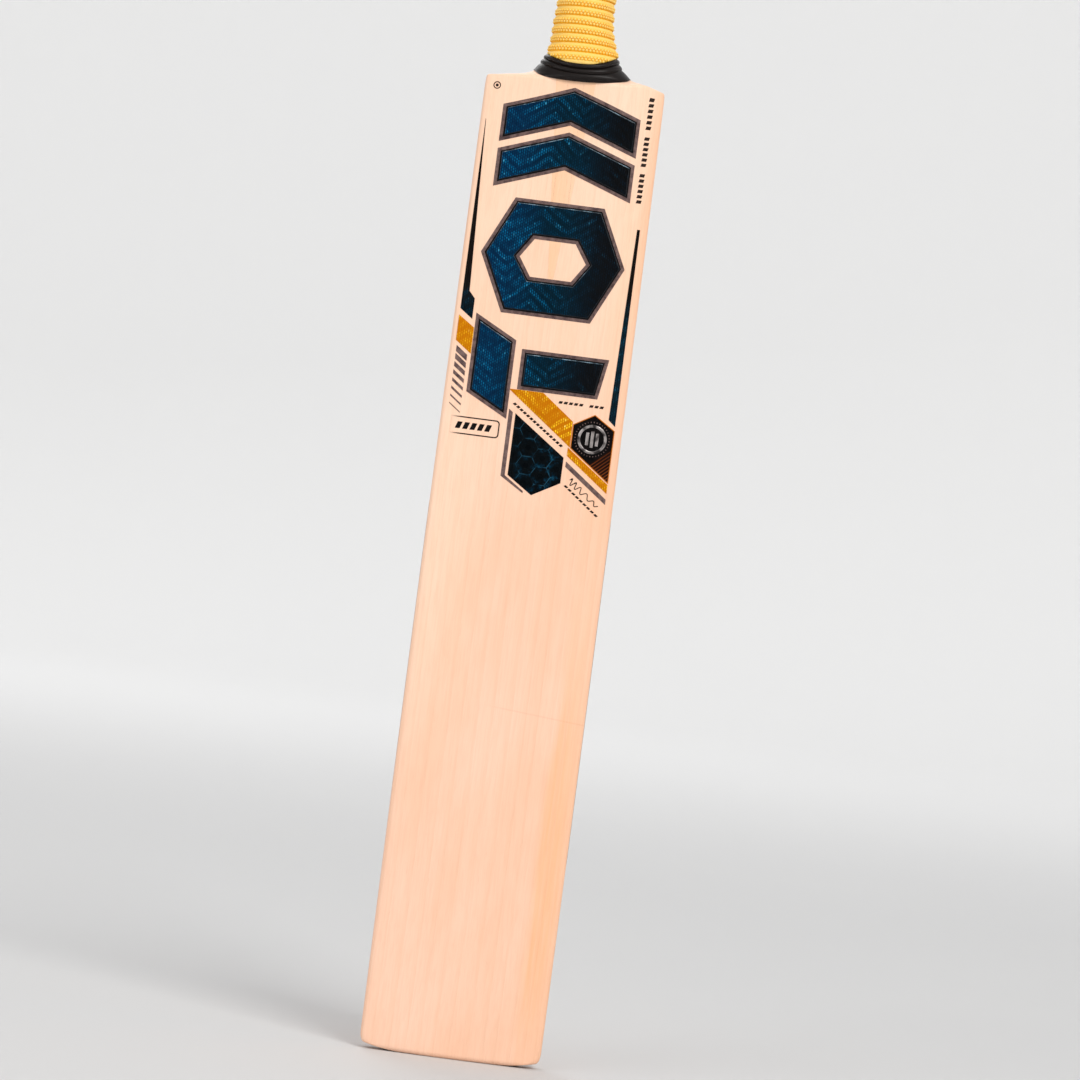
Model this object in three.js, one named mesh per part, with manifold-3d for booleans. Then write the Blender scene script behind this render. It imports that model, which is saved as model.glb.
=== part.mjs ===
// A full-size, short-handle cricket bat, in millimetres.
// +Z runs up the bat from the toe to the end of the handle, the hitting face looks along -Y
// and +X is to the right of the face. The origin is in the middle of the toe's flat.

import * as THREE from 'three';
import { mergeVertices } from 'three/addons/utils/BufferGeometryUtils.js';
import Module from 'manifold-3d';

// Lengths along the bat.
const BAT_LENGTH = 864;
const SHOULDER_Z = 570;
const NECK_TOP_Z = 606;
const SPLICE_TIP_Z = 437;
const SPLICE_TIP_HALF_WIDTH = 1.5;

// Blade.
const HALF_WIDTH_TOE = 52.7;
const HALF_WIDTH_WIDEST = 53.2;
const HALF_WIDTH_SHOULDER = 52.1;
const WIDEST_Z = 200;
const FACE_Y_AT_ENDS = -8.5;
const BOW = 8;
const FACE_CROWN = 1.4;
const FRONT_EDGE_RADIUS = 3;
const BACK_EDGE_RADIUS = 3.5;
const TOE_FLAT_HALF_WIDTH = 25;
const TOE_SAG = 3.3;
const TOE_SAG_HALF_WIDTH = 50;
const TOE_CORNER_TOP_Z = 9.5;
const TOE_FRONT_RADIUS = 3;
const TOE_BACK_RADIUS = 6;
const SHOULDER_CORNER_RADIUS = 2.5;

// Thickness of the blade from the face: [height, at the edges, at the spine].
const THICKNESS = [
  [0, 17, 20],
  [40, 25, 33],
  [100, 33, 48],
  [180, 37.5, 60.5],
  [230, 38, 62],
  [320, 34, 54.5],
  [420, 28, 44],
  [520, 23.5, 36],
  [SHOULDER_Z, 22, 33],
];

// The neck sweeps in from the shoulders to the handle: limit + sweep / (height above origin) ^ power.
const NECK_LIMIT = 13.5;
const NECK_SWEEP = 1200;
const NECK_POWER = 1.6;
const NECK_ORIGIN_Z = 561;
const OVAL_FROM_Z = 570.6;
const OVAL_FULL_Z = 574;

// Handle.
const HANDLE_HALF_WIDTH = 13.4;
const HANDLE_HALF_DEPTH = 15.2;
const NECK_HALF_DEPTH = 17.2;
const HANDLE_Y_AT_SHOULDER = 8;
const HANDLE_LEAN = 0.045;
const SPLICE_HALF_WIDTH_AT_SHOULDER = 11.5;
const SLIP_COLUMN_HALF = 4.6;
const SPRING_THICKNESS = 1.5;
const SPRING_SPACING = 7.6;
const SPRING_BOTTOM_Z = 500;

// Covers of the handle.
const TWINE_THICKNESS = 0.8;
const TWINE_TOP_Z = 859;
const GRIP_THICKNESS = 2.1;
const GRIP_TOP_Z = 862;
const COLLAR_BOTTOM_Z = 576;
const COLLAR_TOP_Z = 587;
const COLLAR_DIP = 4.6;

// Clearance between neighbouring pieces, and how far a cutting tool reaches past what it cuts.
const GAP = 0.3;
const OVERCUT = 20;

// Stickers.
const PANEL_THICKNESS = 0.6;
const FILM_THICKNESS = 0.3;

// Heights of the sections that the faceted solid passes through.
const BODY_LEVELS = [
  0, 0.5, 1.5, 3, 4.5, 6.5, TOE_CORNER_TOP_Z, 30, 62, 98, 134, WIDEST_Z * 0.85, 205, 240, 280, 320,
  360, 400, 440, 480, 520, 552, 566, 568.4, 569.6, 570.3, 571, 572, 573, OVAL_FULL_Z, 575.4, 577.5,
  580.5, 584.5, 590, 597, NECK_TOP_Z,
];
const HANDLE_LEVELS = [NECK_TOP_Z, 660, 740, 810, BAT_LENGTH];
const FACE_STEPS = [-0.94, -0.7, -0.47, -0.235, 0, 0.235, 0.47, 0.7, 0.94];
const SPINE_STEPS = [0.93, 0.75, 0.56, 0.4, 0.26, 0.13, 0, -0.13, -0.26, -0.4, -0.56, -0.75, -0.93];

const wasm = await Module();
wasm.setup();

// ---------------------------------------------------------------- curves of the bat

function clamp01(t) {
  return Math.min(1, Math.max(0, t));
}

function smooth(t) {
  return t * t * (3 - 2 * t);
}

// Smooth curve through stations [z, value...], read at height z from the given column.
function through(stations, column, z) {
  const last = stations.length - 1;
  if (z >= stations[last][0]) return stations[last][column];
  let k = 0;
  while (z > stations[k + 1][0]) k += 1;
  const [a, b] = [stations[k], stations[k + 1]];
  const before = stations[Math.max(0, k - 1)];
  const after = stations[Math.min(last, k + 2)];
  const span = b[0] - a[0];
  const slopeA = (b[column] - before[column]) / (b[0] - before[0]);
  const slopeB = (after[column] - a[column]) / (after[0] - a[0]);
  const t = (z - a[0]) / span;
  const rise = (3 - 2 * t) * t * t;
  return a[column] * (1 - rise) + b[column] * rise
    + span * (slopeA * t * (1 - t) ** 2 - slopeB * t * t * (1 - t));
}

// Inset of a quarter round of radius r, at a height z above its lowest point.
function quarterRound(r, z) {
  return z >= r ? 0 : r - Math.sqrt(r * r - (r - z) ** 2);
}

function faceY(z) {
  const half = SHOULDER_Z / 2;
  return FACE_Y_AT_ENDS + BOW * (1 - ((Math.min(z, SHOULDER_Z) - half) / half) ** 2);
}

function handleY(z) {
  return HANDLE_Y_AT_SHOULDER - HANDLE_LEAN * (z - SHOULDER_Z);
}

function toeHalfWidth(z) {
  if (z <= TOE_SAG) {
    return TOE_FLAT_HALF_WIDTH + (TOE_SAG_HALF_WIDTH - TOE_FLAT_HALF_WIDTH) * Math.sqrt(z / TOE_SAG);
  }
  const t = (z - TOE_SAG) / (TOE_CORNER_TOP_Z - TOE_SAG);
  return TOE_SAG_HALF_WIDTH + (HALF_WIDTH_TOE - TOE_SAG_HALF_WIDTH) * Math.sqrt(1 - (1 - t) ** 2);
}

function bladeHalfWidth(z) {
  if (z < TOE_CORNER_TOP_Z) return toeHalfWidth(z);
  const end = z < WIDEST_Z ? HALF_WIDTH_TOE : HALF_WIDTH_SHOULDER;
  const reach = z < WIDEST_Z ? WIDEST_Z : SHOULDER_Z - WIDEST_Z;
  const straight = HALF_WIDTH_WIDEST - (HALF_WIDTH_WIDEST - end) * ((z - WIDEST_Z) / reach) ** 2;
  return straight - quarterRound(SHOULDER_CORNER_RADIUS, Math.max(0, SHOULDER_Z + 0.8 - z));
}

function neckHalfWidth(z) {
  return NECK_LIMIT + NECK_SWEEP / (z - NECK_ORIGIN_Z) ** NECK_POWER;
}

function neckHalfDepth(z) {
  const t = clamp01((z - OVAL_FULL_Z) / (NECK_TOP_Z - OVAL_FULL_Z));
  return NECK_HALF_DEPTH + (HANDLE_HALF_DEPTH - NECK_HALF_DEPTH) * smooth(t);
}

function bodyHalfWidth(z) {
  return z < SHOULDER_Z + 0.4 ? bladeHalfWidth(z) : neckHalfWidth(z);
}

// Rise of the back from edge to spine: hollow flanks and a rounded ridge, 0 to 1.
function spineRise(fraction) {
  const t = 1 - Math.abs(fraction) / SPINE_STEPS[0];
  return 0.5 * (1 - Math.cos(Math.PI * t ** 1.4));
}

// Section of the bat at height z, counter-clockwise from the left of the face, grown outwards.
function bodySection(z, grow) {
  const w = bodyHalfWidth(z) + grow;
  const front = faceY(z) + quarterRound(TOE_FRONT_RADIUS, z) - grow;
  const lift = quarterRound(TOE_BACK_RADIUS, z) - grow;
  const edge = faceY(z) + through(THICKNESS, 1, z) - lift;
  const spine = faceY(z) + through(THICKNESS, 2, z) - lift;
  const rim = front + FACE_CROWN;
  const rightEdge = [
    [0.985, rim + 0.3 * FRONT_EDGE_RADIUS, -1],
    [1, rim + FRONT_EDGE_RADIUS, -1],
    [1, edge - BACK_EDGE_RADIUS, 1],
    [0.985, edge - 0.3 * BACK_EDGE_RADIUS, 1],
  ];
  const blade = [
    ...FACE_STEPS.map((f) => [f, front + FACE_CROWN * f * f, -1]),
    ...rightEdge,
    ...SPINE_STEPS.map((f) => [f, edge + (spine - edge) * spineRise(f), 1]),
    ...rightEdge.map(([f, y, side]) => [-f, y, side]).reverse(),
  ];
  const share = smooth(clamp01((z - OVAL_FROM_Z) / (OVAL_FULL_Z - OVAL_FROM_Z)));
  const depth = neckHalfDepth(z) + grow;
  return blade.map(([f, y, side]) => {
    const reach = Math.sqrt(1 - Math.min(0.998, f * f));
    const oval = handleY(z) + side * depth * reach;
    return new THREE.Vector3(w * f, y + (oval - y) * share, z);
  });
}

// Oval section of the handle, grown outwards, with the same points as a section of the body.
function handleSection(z, grow) {
  const w = HANDLE_HALF_WIDTH + grow;
  const depth = HANDLE_HALF_DEPTH + grow;
  const flat = (point) => new THREE.Vector3(point.x, point.y - handleY(NECK_TOP_Z), z);
  const scaleX = w / bodyHalfWidth(NECK_TOP_Z);
  const scaleY = depth / neckHalfDepth(NECK_TOP_Z);
  return bodySection(NECK_TOP_Z, 0).map(flat).map((point) => {
    return new THREE.Vector3(point.x * scaleX, handleY(z) + point.y * scaleY, z);
  });
}

// ---------------------------------------------------------------- solids

// Closed surface through rings of equal count: capped at both ends.
function loftGeometry(rings) {
  const n = rings[0].length;
  const points = rings.flat();
  const faces = [];
  for (let k = 0; k < rings.length - 1; k += 1) {
    for (let i = 0; i < n; i += 1) {
      const j = (i + 1) % n;
      faces.push(k * n + i, k * n + j, (k + 1) * n + j);
      faces.push(k * n + i, (k + 1) * n + j, (k + 1) * n + i);
    }
  }
  for (const [ring, flip] of [[0, true], [rings.length - 1, false]]) {
    const centre = new THREE.Vector3();
    rings[ring].forEach((point) => centre.addScaledVector(point, 1 / n));
    points.push(centre);
    for (let i = 0; i < n; i += 1) {
      const a = ring * n + i;
      const b = ring * n + (i + 1) % n;
      faces.push(points.length - 1, flip ? b : a, flip ? a : b);
    }
  }
  const geometry = new THREE.BufferGeometry().setFromPoints(points);
  geometry.setIndex(faces);
  return geometry;
}

// Thin closed sheet between two equal grids of points, rows x columns, outer grid first.
function sheetGeometry(outer, inner) {
  const rows = outer.length;
  const columns = outer[0].length;
  const points = [...outer.flat(), ...inner.flat()];
  const shift = rows * columns;
  const faces = [];
  const at = (r, c) => r * columns + c;
  for (let r = 0; r < rows - 1; r += 1) {
    for (let c = 0; c < columns - 1; c += 1) {
      const [a, b, d, e] = [at(r, c), at(r, c + 1), at(r + 1, c + 1), at(r + 1, c)];
      faces.push(a, b, d, a, d, e);
      faces.push(shift + a, shift + d, shift + b, shift + a, shift + e, shift + d);
    }
  }
  const rim = [];
  for (let c = 0; c < columns; c += 1) rim.push(at(0, c));
  for (let r = 1; r < rows; r += 1) rim.push(at(r, columns - 1));
  for (let c = columns - 2; c >= 0; c -= 1) rim.push(at(rows - 1, c));
  for (let r = rows - 2; r > 0; r -= 1) rim.push(at(r, 0));
  rim.forEach((a, i) => {
    const b = rim[(i + 1) % rim.length];
    faces.push(a, shift + a, shift + b, a, shift + b, b);
  });
  const geometry = new THREE.BufferGeometry().setFromPoints(points);
  geometry.setIndex(faces);
  return geometry;
}

function solidOf(geometry) {
  const bare = geometry.clone();
  bare.deleteAttribute('normal');
  bare.deleteAttribute('uv');
  const merged = mergeVertices(bare, 1e-4);
  return new wasm.Manifold(new wasm.Mesh({
    numProp: 3,
    vertProperties: new Float32Array(merged.attributes.position.array),
    triVerts: new Uint32Array(merged.index.array),
  }));
}

function geometryOf(solid) {
  const mesh = solid.getMesh();
  const geometry = new THREE.BufferGeometry();
  geometry.setAttribute('position', new THREE.BufferAttribute(new Float32Array(mesh.vertProperties), 3));
  geometry.setIndex(new THREE.BufferAttribute(new Uint32Array(mesh.triVerts), 1));
  geometry.computeVertexNormals();
  return geometry;
}

// Outline in the X-Z plane, pushed through the bat along Y.
function throughDepth(shape) {
  const depth = 2 * HALF_WIDTH_WIDEST + 2 * OVERCUT;
  const geometry = new THREE.ExtrudeGeometry(shape, { depth, bevelEnabled: false, curveSegments: 12 });
  geometry.rotateX(Math.PI / 2);
  geometry.translate(0, depth / 2, 0);
  return solidOf(geometry);
}

// Outline in the Y-Z plane, pushed through the bat along X between two values of x.
function throughWidth(shape, fromX, toX) {
  const geometry = new THREE.ExtrudeGeometry(shape, { depth: toX - fromX, bevelEnabled: false });
  geometry.rotateX(Math.PI / 2);
  geometry.rotateZ(Math.PI / 2);
  geometry.translate(fromX, 0, 0);
  return solidOf(geometry);
}

function polygon(points) {
  return new THREE.Shape(points.map(([x, y]) => new THREE.Vector2(x, y)));
}

// ---------------------------------------------------------------- materials

function finish(color, roughness, metalness = 0) {
  return new THREE.MeshStandardMaterial({ color, roughness, metalness });
}

const FINISHES = {
  willow: () => finish('#f3cfa5', 0.55),
  cane: () => finish('#e0b878', 0.6),
  spring_rubber: () => finish('#2c2a28', 0.9),
  twine: () => finish('#e9e2d2', 0.85),
  grip_rubber: () => finish('#f6b53c', 0.7),
  collar_rubber: () => finish('#1d1714', 0.55),
  blue_foil: () => finish('#052a44', 0.35, 0.4),
  grey_film: () => finish('#6d615d', 0.5),
  gold_foil: () => finish('#c8820c', 0.4, 0.4),
  black_film: () => finish('#0d0d10', 0.4),
  silver_foil: () => finish('#b9b6b3', 0.3, 0.8),
};

const bat = new THREE.Group();

function addPiece(name, solid, finishName) {
  const mesh = new THREE.Mesh(geometryOf(solid), FINISHES[finishName]());
  mesh.name = name;
  bat.add(mesh);
}

// ---------------------------------------------------------------- blade and handle

// Outline of the handle's wedge in the splice, which widens from its tip to the full handle.
function spliceOutline(gap) {
  const slope = SPLICE_HALF_WIDTH_AT_SHOULDER / (SHOULDER_Z - SPLICE_TIP_Z);
  const fullZ = SPLICE_TIP_Z + HANDLE_HALF_WIDTH / slope;
  const tipZ = SPLICE_TIP_Z + SPLICE_TIP_HALF_WIDTH / slope;
  const half = HANDLE_HALF_WIDTH + gap;
  return polygon([
    [-SPLICE_TIP_HALF_WIDTH - gap, tipZ - gap],
    [SPLICE_TIP_HALF_WIDTH + gap, tipZ - gap],
    [half, fullZ],
    [half, NECK_TOP_Z + OVERCUT],
    [-half, NECK_TOP_Z + OVERCUT],
    [-half, fullZ],
  ]);
}

function bodySolid(grow) {
  return solidOf(loftGeometry(BODY_LEVELS.map((z) => bodySection(z, grow))));
}

const wholeBody = bodySolid(0);

function addBlade() {
  addPiece('blade', wholeBody.subtract(throughDepth(spliceOutline(GAP))), 'willow');
}

// Layer of the handle between two depths from its axis, leaning with it, above a height.
function handleLayer(fromDepth, toDepth, fromX, toX, bottomZ) {
  const topZ = BAT_LENGTH + 1;
  return throughWidth(polygon([
    [handleY(bottomZ) + fromDepth, bottomZ],
    [handleY(bottomZ) + toDepth, bottomZ],
    [handleY(topZ) + toDepth, topZ],
    [handleY(topZ) + fromDepth, topZ],
  ]), fromX, toX);
}

// The cane handle: its wedge in the splice and the oval that the hands hold, before it is sliced.
function handleBlank() {
  const wedge = wholeBody.intersect(throughDepth(spliceOutline(0)));
  const levels = [NECK_TOP_Z - 0.5, ...HANDLE_LEVELS.slice(1)];
  const grip = solidOf(loftGeometry(levels.map((z) => handleSection(z, 0))));
  return wedge.add(grip);
}

// Four layers of three slips each, with a rubber spring in each joint between the layers.
function addHandle() {
  const blank = handleBlank();
  const outside = HANDLE_HALF_WIDTH + OVERCUT;
  const halfSlot = SPRING_THICKNESS / 2 + GAP;
  const joints = [-SPRING_SPACING, 0, SPRING_SPACING];
  const layers = ['front', 'front_middle', 'back_middle', 'back'];
  const columns = [
    ['left', -outside, -SLIP_COLUMN_HALF - GAP / 2],
    ['centre', -SLIP_COLUMN_HALF + GAP / 2, SLIP_COLUMN_HALF - GAP / 2],
    ['right', SLIP_COLUMN_HALF + GAP / 2, outside],
  ];
  layers.forEach((layer, k) => {
    const fromDepth = k === 0 ? -outside : joints[k - 1] + halfSlot;
    const toDepth = k === layers.length - 1 ? outside : joints[k] - halfSlot;
    for (const [column, fromX, toX] of columns) {
      const layerSolid = handleLayer(fromDepth, toDepth, fromX, toX, SPLICE_TIP_Z - OVERCUT);
      const slip = blank.intersect(layerSolid);
      addPiece(`cane_slip_${layer}_${column}`, slip, 'cane');
    }
  });
  joints.forEach((depth, k) => {
    const half = SPRING_THICKNESS / 2;
    const strip = handleLayer(depth - half, depth + half, -outside, outside, SPRING_BOTTOM_Z);
    addPiece(`rubber_spring_${k + 1}`, blank.intersect(strip), 'spring_rubber');
  });
}

// ---------------------------------------------------------------- covers of the handle

// Ring around the neck or handle: level at the sides and dipping at front and back.
function coverRing(sideZ, dip, grow) {
  const steps = 32;
  const ring = [];
  for (let i = 0; i < steps; i += 1) {
    const angle = (i / steps) * 2 * Math.PI;
    const z = sideZ - dip * Math.sin(angle) ** 2;
    const w = Math.max(neckHalfWidth(z) + GAP, HANDLE_HALF_WIDTH + TWINE_THICKNESS + 2 * GAP);
    const depth = Math.max(neckHalfDepth(z) + GAP, HANDLE_HALF_DEPTH + TWINE_THICKNESS + 2 * GAP);
    ring.push(new THREE.Vector3(
      (w + grow) * Math.cos(angle),
      handleY(z) + (depth + grow) * Math.sin(angle),
      z,
    ));
  }
  return ring;
}

// Everything that the rubber covers are stretched over, grown by the gap.
function coverCore() {
  const over = TWINE_THICKNESS + 2 * GAP;
  const levels = [NECK_TOP_Z - 0.5, ...HANDLE_LEVELS.slice(1), BAT_LENGTH + OVERCUT];
  const bound = solidOf(loftGeometry(levels.map((z) => handleSection(z, over))));
  const neck = bodySolid(GAP);
  return neck.add(bound);
}

function addCovers() {
  const core = coverCore();
  const middle = HANDLE_LEVELS.slice(1, -1);
  const twineLevels = [NECK_TOP_Z + 1, ...middle, TWINE_TOP_Z];
  const twineOuter = twineLevels.map((z) => handleSection(z, GAP + TWINE_THICKNESS));
  const boreLevels = [NECK_TOP_Z - OVERCUT, ...middle, BAT_LENGTH + OVERCUT];
  const bore = boreLevels.map((z) => handleSection(z, GAP));
  const twine = solidOf(loftGeometry(twineOuter)).subtract(solidOf(loftGeometry(bore)));
  addPiece('twine_binding', twine, 'twine');

  // Collar: three smooth steps, widening to the shoulders.
  const collarSteps = [
    [COLLAR_BOTTOM_Z, 1.2],
    [COLLAR_BOTTOM_Z + 0.7, 2.1],
    [COLLAR_BOTTOM_Z + 3.6, 2.6],
    [COLLAR_BOTTOM_Z + 4.0, 1.9],
    [COLLAR_BOTTOM_Z + 7.2, 2.7],
    [COLLAR_BOTTOM_Z + 7.6, 2.0],
    [COLLAR_TOP_Z - 0.8, 2.8],
    [COLLAR_TOP_Z, 2.1],
  ];
  const collar = loftGeometry(collarSteps.map(([z, grow]) => coverRing(z, COLLAR_DIP, grow)));
  addPiece('grip_collar', solidOf(collar).subtract(core), 'collar_rubber');

  // Sleeve: its lower end follows the collar's top, its upper end has a rolled bead.
  const gripSteps = [
    [COLLAR_TOP_Z + GAP, COLLAR_DIP, GRIP_THICKNESS],
    [590, 3.2, GRIP_THICKNESS],
    [594, 1.5, GRIP_THICKNESS],
    [600, 0, GRIP_THICKNESS],
    [608, 0, GRIP_THICKNESS],
    [622, 0, GRIP_THICKNESS],
    [690, 0, GRIP_THICKNESS],
    [770, 0, GRIP_THICKNESS + 0.3],
    [GRIP_TOP_Z - 5.5, 0, GRIP_THICKNESS + 0.4],
    [GRIP_TOP_Z - 4.5, 0, GRIP_THICKNESS + 1.3],
    [GRIP_TOP_Z - 1, 0, GRIP_THICKNESS + 1.3],
    [GRIP_TOP_Z, 0, GRIP_THICKNESS + 0.5],
  ];
  const sleeve = loftGeometry(gripSteps.map(([z, dip, grow]) => coverRing(z, dip, grow)));
  addPiece('grip_sleeve', solidOf(sleeve).subtract(core), 'grip_rubber');
}

// ---------------------------------------------------------------- stickers

// Film over the whole face of the blade, on the same facets as the wood.
function faceFilm(thickness) {
  const levels = BODY_LEVELS.filter((z) => z >= 280 && z <= 569.6);
  const layer = (lift) => levels.map((z) => FACE_STEPS.map((f) => {
    const y = faceY(z) + FACE_CROWN * f * f - lift;
    return new THREE.Vector3(bodyHalfWidth(z) * f, y, z);
  }));
  return solidOf(sheetGeometry(layer(GAP + thickness), layer(GAP)));
}

// Film over the back, between the edges, on the same facets as the wood.
function backFilm(thickness) {
  const levels = BODY_LEVELS.filter((z) => z >= 280 && z <= 566);
  const layer = (lift) => levels.map((z) => SPINE_STEPS.map((f) => {
    const edge = through(THICKNESS, 1, z);
    const spine = through(THICKNESS, 2, z);
    const y = faceY(z) + edge + (spine - edge) * spineRise(f) + lift;
    return new THREE.Vector3(bodyHalfWidth(z) * f, y, z);
  }));
  return solidOf(sheetGeometry(layer(1.3 * GAP + thickness), layer(1.3 * GAP)));
}

// Film over one side edge: side is 1 on the right and -1 on the left.
function edgeFilm(side) {
  const levels = BODY_LEVELS.filter((z) => z >= 98 && z <= 440);
  const layer = (lift) => levels.map((z) => {
    const x = side * (bodyHalfWidth(z) + lift);
    const near = faceY(z) + FACE_CROWN + FRONT_EDGE_RADIUS;
    const far = faceY(z) + through(THICKNESS, 1, z) - BACK_EDGE_RADIUS;
    const row = [near, far].map((y) => new THREE.Vector3(x, y, z));
    return side > 0 ? row : row.reverse();
  });
  return solidOf(sheetGeometry(layer(GAP + FILM_THICKNESS), layer(GAP)));
}

function hexagonRing() {
  const across = [42, 26, -26, -42, -26, 26];
  const middleZ = 466.5;
  const ring = (half, up) => across.map((x, i) => {
    const z = middleZ + up * [0, 1, 1, 0, -1, -1][i];
    return new THREE.Vector2(x * half, z);
  });
  const shape = new THREE.Shape(ring(1, 33.5));
  shape.holes.push(new THREE.Path(ring(0.46, 11).reverse()));
  return shape;
}

function chevron(bottomZ) {
  const [half, thick, rise] = [40, 22, 14];
  return polygon([
    [-half, bottomZ],
    [0, bottomZ + rise],
    [half, bottomZ],
    [half, bottomZ + thick],
    [0, bottomZ + thick + rise],
    [-half, bottomZ + thick],
  ]);
}

// Rounded frame, open on its inside, for the plain name plate at the left.
function plateFrame() {
  const box = (inset) => {
    const [left, right, low, high] = [-47 + inset, -18.2 - inset, 360 + inset, 370.4 - inset];
    const r = 2.2 - inset;
    const path = new THREE.Shape();
    path.moveTo(left, low);
    path.lineTo(right - r, low);
    path.absarc(right - r, low + r, r, -Math.PI / 2, 0, false);
    path.absarc(right - r, high - r, r, 0, Math.PI / 2, false);
    path.lineTo(left, high);
    return path;
  };
  const frame = box(0);
  frame.holes.push(new THREE.Path(box(0.7).getPoints(3).reverse()));
  return frame;
}

function circle(x, z, radius) {
  const shape = new THREE.Shape();
  shape.absarc(x, z, radius, 0, 2 * Math.PI, false);
  return shape;
}

function ringShape(x, z, outer, inner) {
  const shape = circle(x, z, outer);
  const hole = new THREE.Path();
  hole.absarc(x, z, inner, 0, 2 * Math.PI, true);
  shape.holes.push(hole);
  return shape;
}

function addFaceStickers() {
  const panelFilm = faceFilm(PANEL_THICKNESS);
  const thinFilm = faceFilm(FILM_THICKNESS);
  const panel = (name, shape) => addPiece(name, panelFilm.intersect(throughDepth(shape)), 'blue_foil');
  const flat = (name, shape, look) => addPiece(name, thinFilm.intersect(throughDepth(shape)), look);

  panel('panel_chevron_upper', chevron(531));
  panel('panel_chevron_lower', chevron(505));
  panel('panel_hexagon_ring', hexagonRing());
  panel('panel_slash_left', polygon([[-40, 385], [-15, 372], [-15, 418], [-40, 431]]));
  panel('panel_slash_right', polygon([[-11, 390], [36, 390], [40, 413.5], [-11, 413.5]]));

  flat('stripe_left', polygon([
    [-49.7, 432.5], [-42, 427], [-42, 439], [-45.6, 443], [-46.7, 473], [-47.6, 503], [-48.9, 543],
    [-49.7, 543],
  ]), 'blue_foil');
  flat('stripe_right', polygon([
    [44.1, 379], [48.3, 375.5], [48.3, 430], [47.9, 490.5], [46.2, 490.5], [45.6, 455], [44.8, 425],
  ]), 'blue_foil');
  flat('gold_patch', polygon([
    [-49.5, 414], [-40.6, 407.5], [-40.6, 422], [-49.5, 428],
  ]), 'gold_foil');

  // Eight slanted bars, thinning downwards.
  const bars = 8;
  for (let k = 0; k < bars; k += 1) {
    const leftZ = 411 - 4.75 * k;
    const thick = 3.6 - 0.42 * k;
    flat(`hatch_bar_${k + 1}`, polygon([
      [-49, leftZ - thick], [-42.2, leftZ - thick - 5], [-42.2, leftZ - 5], [-49, leftZ],
    ]), 'grey_film');
  }

  flat('plate_frame', plateFrame(), 'black_film');
  flat('plate_bar', polygon([[-44, 363.2], [-22.5, 363.2], [-22.5, 367.2], [-44, 367.2]]), 'black_film');
  flat('gold_band', polygon([[23.4, 361], [23.4, 375.2], [4.4, 389.5], [-15, 389.5]]), 'gold_foil');
  flat('gold_strip', polygon([[23, 355.5], [48, 337], [48, 341.4], [23, 359.6]]), 'gold_foil');
  flat('badge', polygon([
    [24, 360], [48.5, 342.2], [48.5, 373], [36, 381], [24, 374],
  ]), 'black_film');
  flat('shield', polygon([[-10, 340], [5, 330], [21, 339], [21, 354], [-10, 376]]), 'blue_foil');
  flat('shield_trim', polygon([
    [-14, 339], [0, 330.5], [0, 331.8], [-11.6, 339.6], [-11.6, 376.4], [-14, 378.2],
  ]), 'grey_film');
  flat('grey_bar', polygon([[23, 349], [48, 330.6], [48, 332.8], [23, 351.4]]), 'grey_film');
  flat('side_print', polygon([[43.4, 505], [46.6, 505], [46.6, 566], [43.4, 566]]), 'black_film');

  // Round emblem, raised on the badge.
  const emblemBase = FILM_THICKNESS + GAP;
  const emblemFilm = faceFilm(emblemBase + FILM_THICKNESS).subtract(faceFilm(emblemBase));
  addPiece('badge_ring', emblemFilm.intersect(throughDepth(ringShape(36, 366.6, 8.5, 6.9))), 'silver_foil');
  addPiece('badge_core', emblemFilm.intersect(throughDepth(circle(36, 366.6, 4.2))), 'silver_foil');
}

// Plain stickers on the edges and on the back.
function addOtherStickers() {
  for (const [side, name] of [[1, 'right'], [-1, 'left']]) {
    const middle = faceY(WIDEST_Z) + 17.5;
    const outline = polygon([
      [middle - 9, 120], [middle + 9, 132], [middle + 9, 330], [middle - 9, 318],
    ]);
    const [fromX, toX] = [40, 60].map((x) => side * x).sort((a, b) => a - b);
    const sticker = edgeFilm(side).intersect(throughWidth(outline, fromX, toX));
    addPiece(`edge_sticker_${name}`, sticker, 'blue_foil');
  }
  const film = backFilm(FILM_THICKNESS);
  const back = (name, shape, look) => {
    const behind = solidOf(new THREE.BoxGeometry(120, 100, 700).translate(0, 60, 350));
    addPiece(name, film.intersect(throughDepth(shape)).intersect(behind), look);
  };
  for (const [side, name] of [[1, 'right'], [-1, 'left']]) {
    const points = [[14, 548], [42, 556], [42, 470], [14, 430]].map(([x, z]) => [side * x, z]);
    back(`back_panel_${name}`, polygon(side > 0 ? points.reverse() : points), 'blue_foil');
    const band = [[14, 425], [42, 465], [42, 452], [14, 412]].map(([x, z]) => [side * x, z]);
    back(`back_band_${name}`, polygon(side > 0 ? band.reverse() : band), 'gold_foil');
  }
}

addBlade();
addHandle();
addCovers();
addFaceStickers();
addOtherStickers();

export default bat;
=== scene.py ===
import math
from functools import partial

import bmesh
import bpy
from mathutils import Matrix, Vector
from mathutils.geometry import tessellate_polygon


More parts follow.
